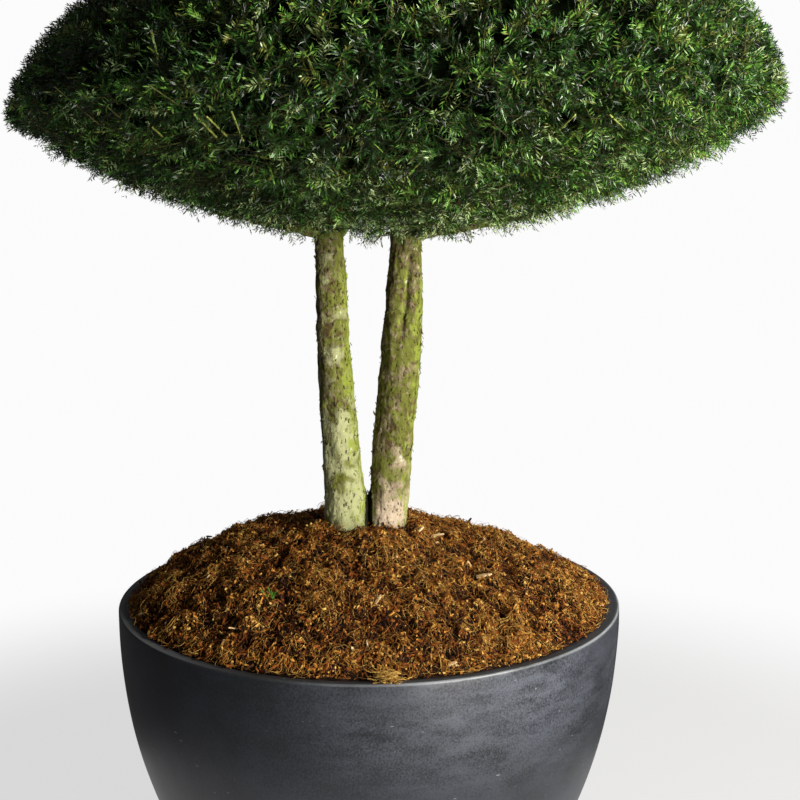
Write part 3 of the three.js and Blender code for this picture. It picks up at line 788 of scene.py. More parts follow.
@dataclass
class Mulch:
    """The mounded mulch: a rough bed, and on it chips, crumbs and curled strands."""

    bowl: Bowl
    peak_height: float = 0.815
    edge_height: float = 0.648
    peak: tuple[float, float] = (-0.070, 0.045)
    crest: float = 1.25
    fall: float = 0.62
    pad_height: float = 0.795
    pad_radius: float = 0.112
    pad_blend: float = 0.060
    pad_centre: tuple[float, float] = (-0.006, -0.002)
    sunk: float = 0.006
    collar: float = 0.013  # how high the mulch is heaped in front of the trunks' feet
    relief: float = 0.009
    lump: float = 0.036
    clod: float = 0.012
    clod_relief: float = 0.0058
    fade: float = 0.03  # the strip along the bowl's wall in which the roughness fades out
    hub: float = 0.0005
    clear: float = 0.0005
    depths: tuple[float, ...] = (0.60, 0.45, 0.25)
    rings: int = 165
    segments: int = 420
    clump: tuple[float, float] = (0.046, -0.518)
    clump_size: tuple[float, float] = (0.0105, 0.0070)
    clump_strands: int = 210
    sprig: tuple[float, float] = (-0.186, -0.294)
    spill: float = 0.012
    bare: tuple[float, float] = (0.002, -0.045)  # the dark spot in front of the trunks' feet
    bare_size: float = 0.022
    golden: tuple[float, float] = (0.25, -0.37)  # where more of the mulch is coir
    golden_size: float = 0.075
    strands: int = 21000
    chips: int = 13000
    slivers: int = 40
    choice: int = 3  # places that are drawn for each one that is kept
    batch: int = 5000
    seed: int = 4711

    @property
    def edge(self) -> float:
        """Radius at which the mulch meets the bowl."""
        return float(self.bowl.cavity_radius(self.bowl.height - self.bowl.lip_fall)) - 0.0003

    def height(self, x: np.ndarray, y: np.ndarray) -> np.ndarray:
        """Height of the mound, without its roughness.

        Args:
            x: Places across the bowl.
            y: The same places from front to back.

        Returns:
            The height at each.
        """
        out = np.minimum(np.hypot(x, y) / self.edge, 1)
        pull = 1 - out * out
        away = np.hypot(x - self.peak[0] * pull, y - self.peak[1] * pull) / self.edge
        rise = np.maximum(1 - away**self.crest, 0) ** self.fall
        open_ground = self.edge_height + (self.peak_height - self.edge_height) * rise
        off = (np.hypot(x - self.pad_centre[0], y - self.pad_centre[1]) - self.pad_radius) / self.pad_blend
        return mix(self.pad_height, open_ground, smooth_step(0, 1, off))

    @staticmethod
    def bumps(x: np.ndarray, y: np.ndarray, size: float, octaves: int, seed: int) -> np.ndarray:
        """Seeded bumps and hollows of so many sizes, the widest given in metres and each next one half as wide."""
        flat = np.stack([x, y, np.zeros_like(x)], axis=-1).reshape(-1, 3)
        return ValueNoise(seed).layers(flat / size, octaves).reshape(x.shape)

    def lumps(self, x: np.ndarray, y: np.ndarray) -> np.ndarray:
        """Broad lumps and hollows."""
        return self.bumps(x, y, self.lump, 4, 23)

    def clods(self, x: np.ndarray, y: np.ndarray) -> np.ndarray:
        """Crumbly clods and the gaps between them."""
        return self.bumps(x, y, self.clod, 2, 29)

    def rough_height(self, x: np.ndarray, y: np.ndarray) -> np.ndarray:
        """Height with lumps and clods, which fade out at the bowl's wall.

        Args:
            x: Places across the bowl.
            y: The same places from front to back.

        Returns:
            The height at each.
        """
        fade = smooth_step(self.edge, self.edge - self.fade, np.hypot(x, y))
        away = np.hypot(x - self.pad_centre[0], y - self.pad_centre[1])
        heaped = self.collar * smooth_step(0.15, 0.09, away) * smooth_step(0.04, -0.03, y)
        rough = self.relief * self.lumps(x, y) + self.clod_relief * self.clods(x, y)
        return self.height(x, y) - self.sunk * fade + rough * fade + heaped

    def dress_bed(self) -> None:
        """Build the rough bed with its closed underside."""
        radius = np.linspace(self.hub, self.edge, self.rings)
        angle = round_angles(self.segments)
        x = radius[:, None] * np.cos(angle)
        y = radius[:, None] * np.sin(angle)
        top = np.stack([x, y, self.rough_height(x, y)], axis=-1)
        depths = np.array([*self.depths, self.bowl.floor + 0.001])
        walls = np.column_stack([self.bowl.cavity_radius(depths) - self.clear, depths])
        under = turned(np.concatenate([walls, [[self.hub, depths[-1]]]]), self.segments)[0]
        points = np.concatenate([top, under])
        parcel = Parcel()
        parcel.add(points, grid_faces(len(points), self.segments, True)[:, ::-1])
        finish = Fibre("shredded_bark_bed", "0f0803", "2b170a", 9.0, 0.95)
        place_piece(parcel.build("mulch_bed", finish.build(), smooth=True), "mulch", "mulch_fill")

    def ground(self, x: np.ndarray, y: np.ndarray) -> np.ndarray:
        """Height of what strands and chips lie on: the rough mound, or the bowl's lip round it."""
        return np.where(np.hypot(x, y) < self.edge, self.rough_height(x, y), self.bowl.height - 0.002)

    def scatter(self, random: np.random.Generator, count: int, high: float) -> tuple[np.ndarray, np.ndarray]:
        """Pick places evenly over the mound's slopes, a few of them on the bowl's lip.

        Args:
            random: The source of chance.
            count: How many places.
            high: How strongly the places keep to the lumps, or below 0 to the hollows.

        Returns:
            The places' x and y.
        """
        line = np.linspace(0, self.edge, 200)
        slope = np.gradient(self.height(line, 0 * line), line)
        area = np.cumsum(line * np.hypot(1, slope))
        drawn = count * self.choice
        radius = np.interp(random.random(drawn) * area[-1], area, line)
        spilt = smooth_step(self.edge - self.fade, self.edge, radius)
        radius = radius + spilt * random.uniform(-self.spill, self.spill, drawn)
        angle = random.random(drawn) * 2 * math.pi
        x, y = radius * np.cos(angle), radius * np.sin(angle)
        between = np.exp(-((x - self.bare[0]) ** 2 + (y - self.bare[1]) ** 2) / self.bare_size**2)
        patch = np.exp(-((x - self.golden[0]) ** 2 + (y - self.golden[1]) ** 2) / self.golden_size**2)
        ground = 0.7 * self.lumps(x, y) + self.clods(x, y) - 2.2 * between + 0.9 * patch
        liking = ground * high + random.normal(0, 0.6, drawn)
        best = np.argsort(-liking)[:count]
        return x[best], y[best]

    def strand_parcel(self, random: np.random.Generator, places: tuple[np.ndarray, np.ndarray],
                      length: tuple[float, float], width: tuple[float, float], curl: float,
                      heap: float = 0.006) -> Parcel:
        """Lay thin curved strands.

        Args:
            random: The source of chance.
            places: The x and y of their middles.
            length: Shortest and longest, in metres.
            width: Narrowest and widest, in metres.
            curl: How far a strand turns from end to end, in radians.
            heap: How high they may lie over the ground, in metres.

        Returns:
            The strands' points and faces.
        """
        taper = np.array([0.3, 0.8, 1.0, 1.0, 0.9, 0.7, 0.15])
        steps = len(taper)
        x, y = (values[:, None] for values in places)
        count = len(x)
        t = np.linspace(0, 1, steps)[None, :]
        heading = random.random((count, 1)) * 2 * math.pi
        turn = random.normal(0, curl, (count, 1))
        wave = random.normal(0, 0.6, (count, 1)) * np.sin(2 * math.pi * t + random.random((count, 1)) * 6)
        angle = heading + turn * t + wave
        step = random.uniform(*length, (count, 1)) / (steps - 1)
        px = x + (np.cumsum(np.cos(angle), axis=1) - np.cos(angle) * (steps // 2)) * step
        py = y + (np.cumsum(np.sin(angle), axis=1) - np.sin(angle) * (steps // 2)) * step
        limit = np.maximum(self.edge + self.spill, np.hypot(x, y))
        inside = np.minimum(1, limit / np.maximum(np.hypot(px, py), 1e-6))
        px, py = px * inside, py * inside
        hump = np.abs(random.normal(0.3, 0.6, (count, 1))) * np.sin(math.pi * t)
        kick = random.normal(0, 0.6, (count, 1)) * t**2
        lift = np.maximum(hump + kick, 0) * step * 1.6
        path = np.stack([px, py, self.ground(px, py) + lift + random.uniform(0.001, heap, (count, 1))], axis=-1)
        along = unit(np.gradient(path, axis=1))
        flat = unit(np.cross(along, UP + random.normal(0, 0.5, (count, 1, 3))))
        over = np.cross(along, flat)
        half = random.uniform(*width, (count, 1, 1)) / 2 * taper[None, :, None]
        ring = np.stack([path + flat * half, path + over * half * 0.5, path - flat * half], axis=2)
        parcel = Parcel()
        parcel.add(ring, repeated(grid_faces(steps, 3, True), count, steps * 3))
        return parcel

    def chip_parcel(self, random: np.random.Generator, places: tuple[np.ndarray, np.ndarray],
                    length: tuple[float, float], heap: float = 0.006) -> Parcel:
        """Lay torn chips and crumbs of bark.

        Args:
            random: The source of chance.
            places: The x and y of their middles.
            length: Shortest and longest, in metres.
            heap: How high they may lie over the ground, in metres.

        Returns:
            The chips' points and faces.
        """
        x, y = places
        count = len(x)
        heading = random.random(count) * 2 * math.pi
        tilt = random.normal(0, 0.6, count)
        way = np.stack([np.cos(heading) * np.cos(tilt), np.sin(heading) * np.cos(tilt), np.sin(tilt)], axis=-1)
        side = unit(np.cross(UP, way) + UP * random.normal(0, 0.6, (count, 1)))
        face = unit(np.cross(way, side))
        long = length[0] + (length[1] - length[0]) * random.random((count, 1)) ** 2.2
        wide = np.minimum(long * random.uniform(0.15, 0.5, (count, 1)), 0.006)
        thick = random.uniform(0.0008, 0.0020, (count, 1))
        centre = np.stack([x, y, self.ground(x, y) + 0.003 + random.uniform(0, heap, count)], axis=-1)
        outline = np.array([[-0.5, -0.3], [-0.36, -0.5], [0.3, -0.45], [0.5, 0.05], [0.34, 0.5], [-0.42, 0.4]])
        shape = outline[None] + random.normal(0, 0.09, (count, 6, 2))
        lengthwise = way[:, None] * shape[..., :1] * long[:, None]
        crosswise = side[:, None] * shape[..., 1:] * wide[:, None]
        parcel = Parcel()
        parcel.add(*thick_plates(centre[:, None] + lengthwise + crosswise, face * thick))
        return parcel

    def dress_clump(self, random: np.random.Generator, material: bpy.types.Material) -> None:
        """Build a clump of curled strands that has spilled on to the rim at the front.

        Args:
            random: The source of chance.
            material: The strands' finish.
        """
        spread = zip(self.clump, self.clump_size)
        places = tuple(random.normal(middle, size, self.clump_strands) for middle, size in spread)
        strands = self.strand_parcel(random, places, (0.007, 0.018), (0.0010, 0.0019), 5.0, 0.019)
        place_piece(strands.build("mulch_rim_clump", material, smooth=True), "mulch")

    def dress_sprig(self, random: np.random.Generator) -> None:
        """Build a small green sprig that lies on the mound.

        Args:
            random: The source of chance.
        """
        x, y = self.sprig
        base = np.tile(np.array([x, y, float(self.rough_height(np.array([x]), np.array([y]))[0]) + 0.006]), (4, 1))
        way = unit(np.array([[-0.8, -0.2, 0.5], [0.5, -0.5, 0.4], [0.9, 0.1, 0.5], [-0.1, -0.4, 0.9]]))
        still = np.zeros(4)
        shoots = Shoots(base, way, unit(np.cross(UP, way)), np.full(4, 0.016), still, still + 0.7)
        grown = NeedleRule(length=0.011, width=0.0026).grow(shoots, 9, random)
        leaves = needle_parcels(grown.reshape(-1, 4, 3))[0]
        place_piece(leaves.build("mulch_sprig", YewNeedle("seedling_leaf", "3f7a24", "6aa83c").build()), "foliage")

    def dress(self) -> None:
        """Build the bed, the strands, the chips, the slivers of wood and the sprig."""
        self.dress_bed()
        random = np.random.default_rng(self.seed)
        for shred in SHREDS:
            material = shred.tint.value.build()
            name = shred.tint.name.lower()
            places = np.stack(self.scatter(random, int(self.strands * shred.share), shred.high))
            batches = np.array_split(places, math.ceil(places.shape[1] / self.batch), axis=1)
            for number, batch in enumerate(batches, 1):
                strands = self.strand_parcel(random, tuple(batch), shred.length, shred.width, shred.curl)
                place_piece(strands.build(f"mulch_strands_{name}_{number}", material, smooth=True), "mulch")
            spots = self.scatter(random, int(self.chips * shred.share), shred.high)
            chips = self.chip_parcel(random, spots, shred.crumb)
            place_piece(chips.build(f"mulch_chips_{name}", material), "mulch")
            if shred.tint is FibreTint.GOLD:
                self.dress_clump(random, material)
        slivers = self.chip_parcel(random, self.scatter(random, self.slivers, 0.5), (0.014, 0.032))
        place_piece(slivers.build("mulch_slivers", Fibre("split_wood_pale", "c49f68", "ecd2a4").build()), "mulch")
        self.dress_sprig(random)


# Trunks and boughs


@dataclass
class Trunk:
    """One leaning trunk with its flare, its groove and flaking bark."""

    name: str
    node: str
    points: list[tuple[float, float, float]]
    radii: list[float]
    lobes: int
    flute: float
    flute_at: float
    seed: int
    flare: float = 0.004
    flare_height: float = 0.055
    flute_height: float = 1.300
    flute_length: float = 0.085
    flute_lean: float = 2.2
    web: float = 0.0  # the ridge of bark that closes the gap between the feet: its depth, heading and height
    web_at: float = 0.0
    web_height: float = 0.10
    web_full: float = 0.05
    web_turn: float = 0.45
    rings: int = 330
    sides: int = 110
    sunk: float = 0.012

    @property
    def foot(self) -> float:
        """Height of the ground at the trunk."""
        return self.points[0][2]

    @property
    def top(self) -> float:
        """Height of the fork."""
        return self.points[-1][2]

    def centre(self, z: np.ndarray) -> np.ndarray:
        """Centres of the trunk, on a smooth curve through its points.

        Args:
            z: Heights.

        Returns:
            The centre at each height, with its own height.
        """
        heights = np.array([p[2] for p in self.points])
        out = []
        for axis in (0, 1):
            values = np.array([p[axis] for p in self.points])
            slope = np.gradient(values, heights)
            low = np.clip(np.searchsorted(heights, z, side="right") - 1, 0, len(heights) - 2)
            span = heights[low + 1] - heights[low]
            t = np.clip((z - heights[low]) / span, 0, 1)
            a = (1 + 2 * t) * (1 - t) ** 2 * values[low] + t * (1 - t) ** 2 * span * slope[low]
            b = t * t * (3 - 2 * t) * values[low + 1] + t * t * (t - 1) * span * slope[low + 1]
            out.append(a + b)
        return np.stack([*out, z], axis=-1)

    def radius(self, z: np.ndarray) -> np.ndarray:
        """Mean radius at heights."""
        return np.interp(z, [p[2] for p in self.points], self.radii)

    def surface_radius(self, z: np.ndarray, angle: np.ndarray) -> np.ndarray:
        """Radius with flare, groove and web, before the bark's relief.

        Args:
            z: Heights.
            angle: Where round the trunk, in radians from +X.

        Returns:
            The radius at each place.
        """
        above = np.maximum(z - self.foot, 0)
        flare = self.flare * np.exp(-above / self.flare_height) * (1 + 0.5 * np.cos(self.lobes * angle))
        over = z - self.flute_height
        off = angle - self.flute_at - self.flute_lean * over
        turn = np.arctan2(np.sin(off), np.cos(off))
        along = over / self.flute_length
        cut = 0.6 * np.exp(-turn * turn * 5) + 1.9 * np.exp(-turn * turn * 24)  # a wide hollow with a sharp line in it
        groove = self.flute * cut * np.exp(-(along**4))
        toward = np.arctan2(np.sin(angle - self.web_at), np.cos(angle - self.web_at))
        web = self.web * np.exp(-((toward / self.web_turn) ** 2)) * smooth_step(self.web_height, self.web_full, above)
        return (self.radius(z) + flare) * (1 - groove) * (1 + 0.02 * np.sin(3 * angle + z * 1000 / 60)) + web

    def relief(self, points: np.ndarray) -> np.ndarray:
        """Height of the bark's plates, ridges and knobs over the smooth trunk.

        Args:
            points: Places on the smooth trunk, of shape (count, 3).

        Returns:
            The height at each, in metres.
        """
        noise = ValueNoise(self.seed)
        stretched = points * np.array([1.0, 1.0, 0.36])  # plates and ridges run along the trunk
        broad = noise.layers(points / 0.035, 2) * 0.0016
        ridges = noise.layers(stretched / 0.011, 3) * 0.0013
        plates = smooth_step(0.05, 0.3, noise.layers(stretched / 0.016 + 5.1, 3)) * 0.0016
        knobs = smooth_step(0.62, 0.95, noise.sample(points / 0.02 + 2.7)) * 0.003
        return broad + ridges + plates + knobs - 0.0012

    def dress(self, bark: bpy.types.Material) -> None:
        """Build the trunk.

        Args:
            bark: Its finish.
        """
        z = np.linspace(self.foot - self.sunk, self.top, self.rings)
        angle = round_angles(self.sides)
        centre = self.centre(np.maximum(z, self.foot))
        centre[:, 2] = z
        radius = self.surface_radius(z[:, None], angle[None, :])
        way = outward(angle)
        smooth = centre[:, None] + way[None] * radius[..., None]
        bumps = self.relief(smooth.reshape(-1, 3)).reshape(radius.shape)
        points = centre[:, None] + way[None] * (radius + bumps)[..., None]
        parcel = Parcel()
        parcel.add(points, grid_faces(self.rings, self.sides, True), *end_faces(self.rings, self.sides))
        place_piece(parcel.build(self.name, bark, smooth=True), "bark", self.node)

    def flakes(self, random: np.random.Generator, count: int) -> tuple[np.ndarray, ...]:
        """Thin scales of bark that stand off the trunk.

        Args:
            random: The source of chance.
            count: How many scales.

        Returns:
            The scales' points, the quads of their edges, and their two faces.
        """
        z = random.uniform(self.foot + 0.01, self.top - 0.06, count)
        angle = random.random(count) * 2 * math.pi
        out = outward(angle)
        round_way = np.cross(UP, out)
        base = self.centre(z) + out * (self.surface_radius(z, angle) - 0.0004)[:, None]
        long = random.uniform(0.003, 0.010, (count, 1))
        wide = random.uniform(0.002, 0.006, (count, 1))
        hand = np.where(random.random((count, 1)) < 0.5, -1.0, 1.0)
        peel = random.uniform(0.1, 0.6, (count, 1))
        down = unit(UP * hand + round_way * random.normal(0, 0.3, (count, 1)))
        lean = unit(down * np.cos(peel) + out * np.sin(peel))
        side = unit(np.cross(lean, out))
        shape = [(0.0, -0.5), (0.55, -0.62), (1.0, -0.2), (0.92, 0.3), (0.4, 0.55), (0.0, 0.45)]
        flat = np.stack([base + lean * long * a + side * wide * b for a, b in shape], axis=1)
        return thick_plates(flat, unit(np.cross(lean, side)) * 0.0004)


def dress_scales(trunks: list[Trunk], bark: bpy.types.Material) -> None:
    """Build the scales of bark on all the trunks as one piece.

    Args:
        trunks: The trunks.
        bark: Their finish.
    """
    random = np.random.default_rng(91)
    scales = Parcel()
    for trunk in trunks:
        scales.add(*trunk.flakes(random, 420))
    place_piece(scales.build("bark_scales", bark), "bark")


def tube(path: np.ndarray, radii: np.ndarray, sides: int,
         relief: ValueNoise | None = None) -> tuple[np.ndarray, np.ndarray]:
    """Skin a path with a tapering tube.

    Args:
        path: Points along the middle.
        radii: Radius at each of them.
        sides: Corners of the section.
        relief: Noise that roughens the skin.

    Returns:
        The tube's points and quads.
    """
    along = unit(np.gradient(path, axis=0))
    side = unit(np.cross(UP + np.array([0.01, 0.02, 0.0]), along))
    over = np.cross(along, side)
    angle = round_angles(sides)
    ring = side[:, None] * np.cos(angle)[None, :, None] + over[:, None] * np.sin(angle)[None, :, None]
    points = path[:, None] + ring * radii[:, None, None]
    if relief is not None:
        flat = points.reshape(-1, 3)
        bumps = relief.layers(flat / 0.012, 3).reshape(points.shape[:2]) * 0.0011
        points = path[:, None] + ring * (radii[:, None] + bumps * (radii[:, None] > 0.002))[..., None]
    return points, grid_faces(len(path), sides, True)


@dataclass
class Bough:
    """One tapering bough that rises from a trunk into the foliage."""

    node: str
    trunk: Trunk
    z: float
    heading: float
    rise: float
    radii: tuple[float, float]
    seat: float = 0.022
    hang: float = 0.05
    longest: float = 0.42

    def path(self, crown: "CrownShape", steps: int) -> np.ndarray:
        """Points along the bough, from inside its trunk to its end in the foliage.

        Args:
            crown: The outline that it grows into.
            steps: How many points.

        Returns:
            Points of shape (steps, 3).
        """
        start = self.trunk.centre(np.array([self.z]))[0]
        heading, rise = math.radians(self.heading), math.radians(self.rise)
        way = np.array([math.cos(heading) * math.cos(rise), math.sin(heading) * math.cos(rise), math.sin(rise)])
        reach, depth = float(self.trunk.radius(np.array([self.z]))[0]), crown.core_inset_below + self.seat
        end = start + way * reach
        while reach < self.longest and end[2] < crown.underside_height(end[0], end[1]) + depth:
            reach += 0.002
            end = start + way * reach
        middle = (start + end) / 2 - UP * np.linalg.norm(end - start) * self.hang
        return arc(start, middle, end, steps)


# The crown


@dataclass
class CrownShape:
    """The clipped outline: a dome over a shallow bowl-shaped underside."""

    centre: tuple[float, float] = (0.058, 0.0)
    radius: float = 0.806
    rim_height: float = 1.688
    underside: float = 0.262
    underside_power: float = 2.05
    dome: float = 0.540
    dome_power: float = 1.66
    dome_power_sway: float = 0.12
    tilt: float = 1.6
    core_inset_below: float = 0.064

    def point(self, s: np.ndarray, angle: np.ndarray) -> np.ndarray:
        """Place on the outline.

        Args:
            s: From -1 at the lowest point, through 0 at the rim, to 1 at the top.
            angle: Round the plant, in radians from +X.

        Returns:
            Points of the same shape with a last axis of three.
        """
        s, angle = np.broadcast_arrays(s, angle)
        share = np.clip(1 + s, 0, 1)
        power = 2 / (self.dome_power + self.dome_power_sway * np.cos(angle))
        turn = np.clip(s, 0, 1) * math.pi / 2
        radius = self.radius * np.where(s < 0, share, np.cos(turn) ** power)
        below = -self.underside * (1 - share**self.underside_power)
        height = np.where(s < 0, below, self.dome * np.sin(turn) ** power)
        tilt = math.radians(self.tilt)
        x = radius * np.cos(angle)
        return np.stack(
            [
                self.centre[0] + x * math.cos(tilt) - height * math.sin(tilt),
                self.centre[1] + radius * np.sin(angle),
                self.rim_height + x * math.sin(tilt) + height * math.cos(tilt),
            ],
            axis=-1,
        )

    def normal(self, s: np.ndarray, angle: np.ndarray) -> np.ndarray:
        """Outward direction at places on the outline.

        Args:
            s: From -1 at the lowest point, through 0 at the rim, to 1 at the top.
            angle: Round the plant, in radians from +X.

        Returns:
            A direction for each place.
        """
        step, end = 0.01, 0.999
        up = self.point(np.minimum(s + step, end), angle) - self.point(np.maximum(s - step, -end), angle)
        around = self.point(s, angle + step) - self.point(s, angle - step)
        return unit(np.cross(around, up))

    def underside_height(self, x: np.ndarray | float, y: np.ndarray | float) -> np.ndarray | float:
        """Height of the underside over a place on the ground.

        Args:
            x: Places from left to right.
            y: The same places from front to back.

        Returns:
            The height over each.
        """
        across = x - self.centre[0]
        share = np.minimum(np.hypot(across, y - self.centre[1]) / self.radius, 1)
        below = self.underside * (1 - share**self.underside_power)
        return self.rim_height + across * math.tan(math.radians(self.tilt)) - below

    def inside(self, points: np.ndarray, inset: float, slack: float) -> np.ndarray:
        """Whether points lie inside the outline.

        Args:
            points: Places, with a last axis of three.
            inset: How far inside the dome they must be, in metres.
            slack: How far below the underside they may hang, in metres.

        Returns:
            True where a point lies inside.
        """
        tilt = math.radians(self.tilt)
        x, y, z = (points[..., i] - v for i, v in enumerate((*self.centre, self.rim_height)))
        along = x * math.cos(tilt) + z * math.sin(tilt)
        height = z * math.cos(tilt) - x * math.sin(tilt)
        out = np.hypot(along, y)
        power = self.dome_power + self.dome_power_sway * along / np.maximum(out, 1e-6)
        radius, dome = self.radius - inset, self.dome - inset
        over = (out / radius) ** power + (np.maximum(height, 0) / dome) ** power
        hang = self.underside * (1 - np.minimum(out / radius, 1) ** self.underside_power)
        return (over < 1) & (height > -hang - slack)

    def even_places(self, count: int, random: np.random.Generator) -> tuple[np.ndarray, np.ndarray]:
        """Spread places evenly over the outline by area.

        Args:
            count: How many places.
            random: The source of chance for a small jitter.

        Returns:
            Values of s and of the angle.
        """
        s = np.linspace(-1, 1, 801)
        line = self.point(s, np.zeros_like(s))
        step = np.linalg.norm(np.diff(line, axis=0), axis=1)
        radius = np.maximum((line[1:, 0] + line[:-1, 0]) / 2 - self.centre[0], 0)
        area = np.concatenate([[0], np.cumsum(radius * step)])
        wanted = (np.arange(count) + random.random(count)) / count * area[-1]
        return np.interp(wanted, area, s), np.arange(count) * GOLDEN_ANGLE + random.normal(0, 0.01, count)


@dataclass
class Shoots:
    """Many shoots as arrays: where each begins, how it lies, how long it is and how flat it grows."""

    base: np.ndarray
    way: np.ndarray
    side: np.ndarray
    length: np.ndarray
    bend: np.ndarray
    flatness: np.ndarray

    @property
    def face(self) -> np.ndarray:
        """Direction that each shoot's upper side faces."""
        return np.cross(self.way, self.side)

    def picked(self, chosen: np.ndarray) -> "Shoots":
        """The shoots at chosen places."""
        return Shoots(*(getattr(self, name)[chosen] for name in self.__dataclass_fields__))

    def at(self, t: np.ndarray) -> np.ndarray:
        """Points along every axis.

        Args:
            t: Shares of the axis that all shoots have in common, or one column of each shoot's own.

        Returns:
            Points of shape (shoots, shares, 3).
        """
        t = np.atleast_2d(t)[..., None]
        long = self.length[:, None, None]
        sag = self.face[:, None] * (self.bend[:, None, None] * t * t * long)
        return self.base[:, None] + self.way[:, None] * t * long + sag

    def offshoots(self, at: float, roll: float, spread: float, share: float,
                  random: np.random.Generator) -> "Shoots":
        """Shoots that leave each axis.

        Args:
            at: Where they leave, as a share of the axis.
            roll: Which way they leave round the axis: 0 or pi for the sides.
            spread: Angle off the axis, in radians.
            share: Their length as a share of the axis.
            random: The source of chance.

        Returns:
            The new shoots.
        """
        count = len(self.base)
        turn = (spread + random.normal(0, 0.12, count))[:, None]
        around = (roll + random.normal(0, 0.35, count) * (1 - self.flatness))[:, None]
        off = self.side * np.cos(around) + self.face * np.sin(around)
        way = unit(self.way * np.cos(turn) + off * np.sin(turn) + self.face * random.normal(0.03, 0.1, (count, 1)))
        side = unit(np.cross(self.face, way))
        long = self.length * share * random.uniform(0.75, 1.15, count)
        return Shoots(self.at(np.array([at]))[:, 0], way, side, long, self.bend * 0.8, self.flatness)


@dataclass
class NeedleRule:
    """How needles stand on a shoot: all round it where it grew up in the light, in two ranks where it is flat."""

    length: float = 0.0162
    width: float = 0.0025
    base_angle: float = 1.25
    tip_angle: float = 0.5
    lift: float = 0.18

    def grow(self, shoots: Shoots, count: int, random: np.random.Generator) -> np.ndarray:
        """Grow the needles of every shoot.

        Args:
            shoots: The axes that carry them.
            count: Needles on each axis.
            random: The source of chance.

        Returns:
            Points of shape (shoots, needles, 4, 3).
        """
        number = len(shoots.base)
        t = np.linspace(0.1, 1.0, count)
        turn = np.arange(count) * GOLDEN_ANGLE * 1.31
        turn = turn[None, :, None] + random.random((number, 1, 1)) * 6
        flat = shoots.flatness[:, None, None]
        side, face = shoots.side[:, None], shoots.face[:, None]
        off = unit(side * np.cos(turn) + face * (np.sin(turn) * (1 - flat) + self.lift * flat) + side * 1e-3)
        bend = shoots.bend[:, None, None] * 2 * t[None, :, None]
        axis = unit(shoots.way[:, None] + face * bend)
        shape = (number, count, 1)
        angle = mix(self.base_angle, self.tip_angle, t**1.8)[None, :, None] + random.normal(0, 0.2, shape)
        way = unit(axis * np.cos(angle) + off * np.sin(angle))
        grown = np.minimum(1, 0.6 + t * 2) * (1 - 0.42 * t**3)
        long = self.length * grown[None, :, None] * random.uniform(0.8, 1.15, shape)
        faced = axis * (1 - flat) + face * flat + random.normal(0, 0.45, (number, count, 3))
        across = unit(np.cross(way, faced))
        keel = np.cross(across, way)
        origin = shoots.at(t)
        middle = origin + way * long * 0.42 - keel * self.width * 0.12
        tip = origin + way * long - keel * long * 0.08
        wide = across * self.width / 2
        return np.stack([origin, middle + wide, tip, middle - wide], axis=2)


def needle_parcels(needles: np.ndarray, most: int = 190_000) -> list[Parcel]:
    """Divide needles into parcels that the export can take.

    Args:
        needles: Their corners, of shape (count, 4, 3).
        most: The most triangles in a parcel.

    Returns:
        The parcels.
    """
    halves = np.array([[0, 1, 2], [0, 2, 3]])
    parcels = []
    for share in np.array_split(needles, max(1, math.ceil(len(needles) * 2 / most))):
        parcels.append(Parcel())
        parcels[-1].add(share, repeated(halves, len(share), 4))
    return parcels


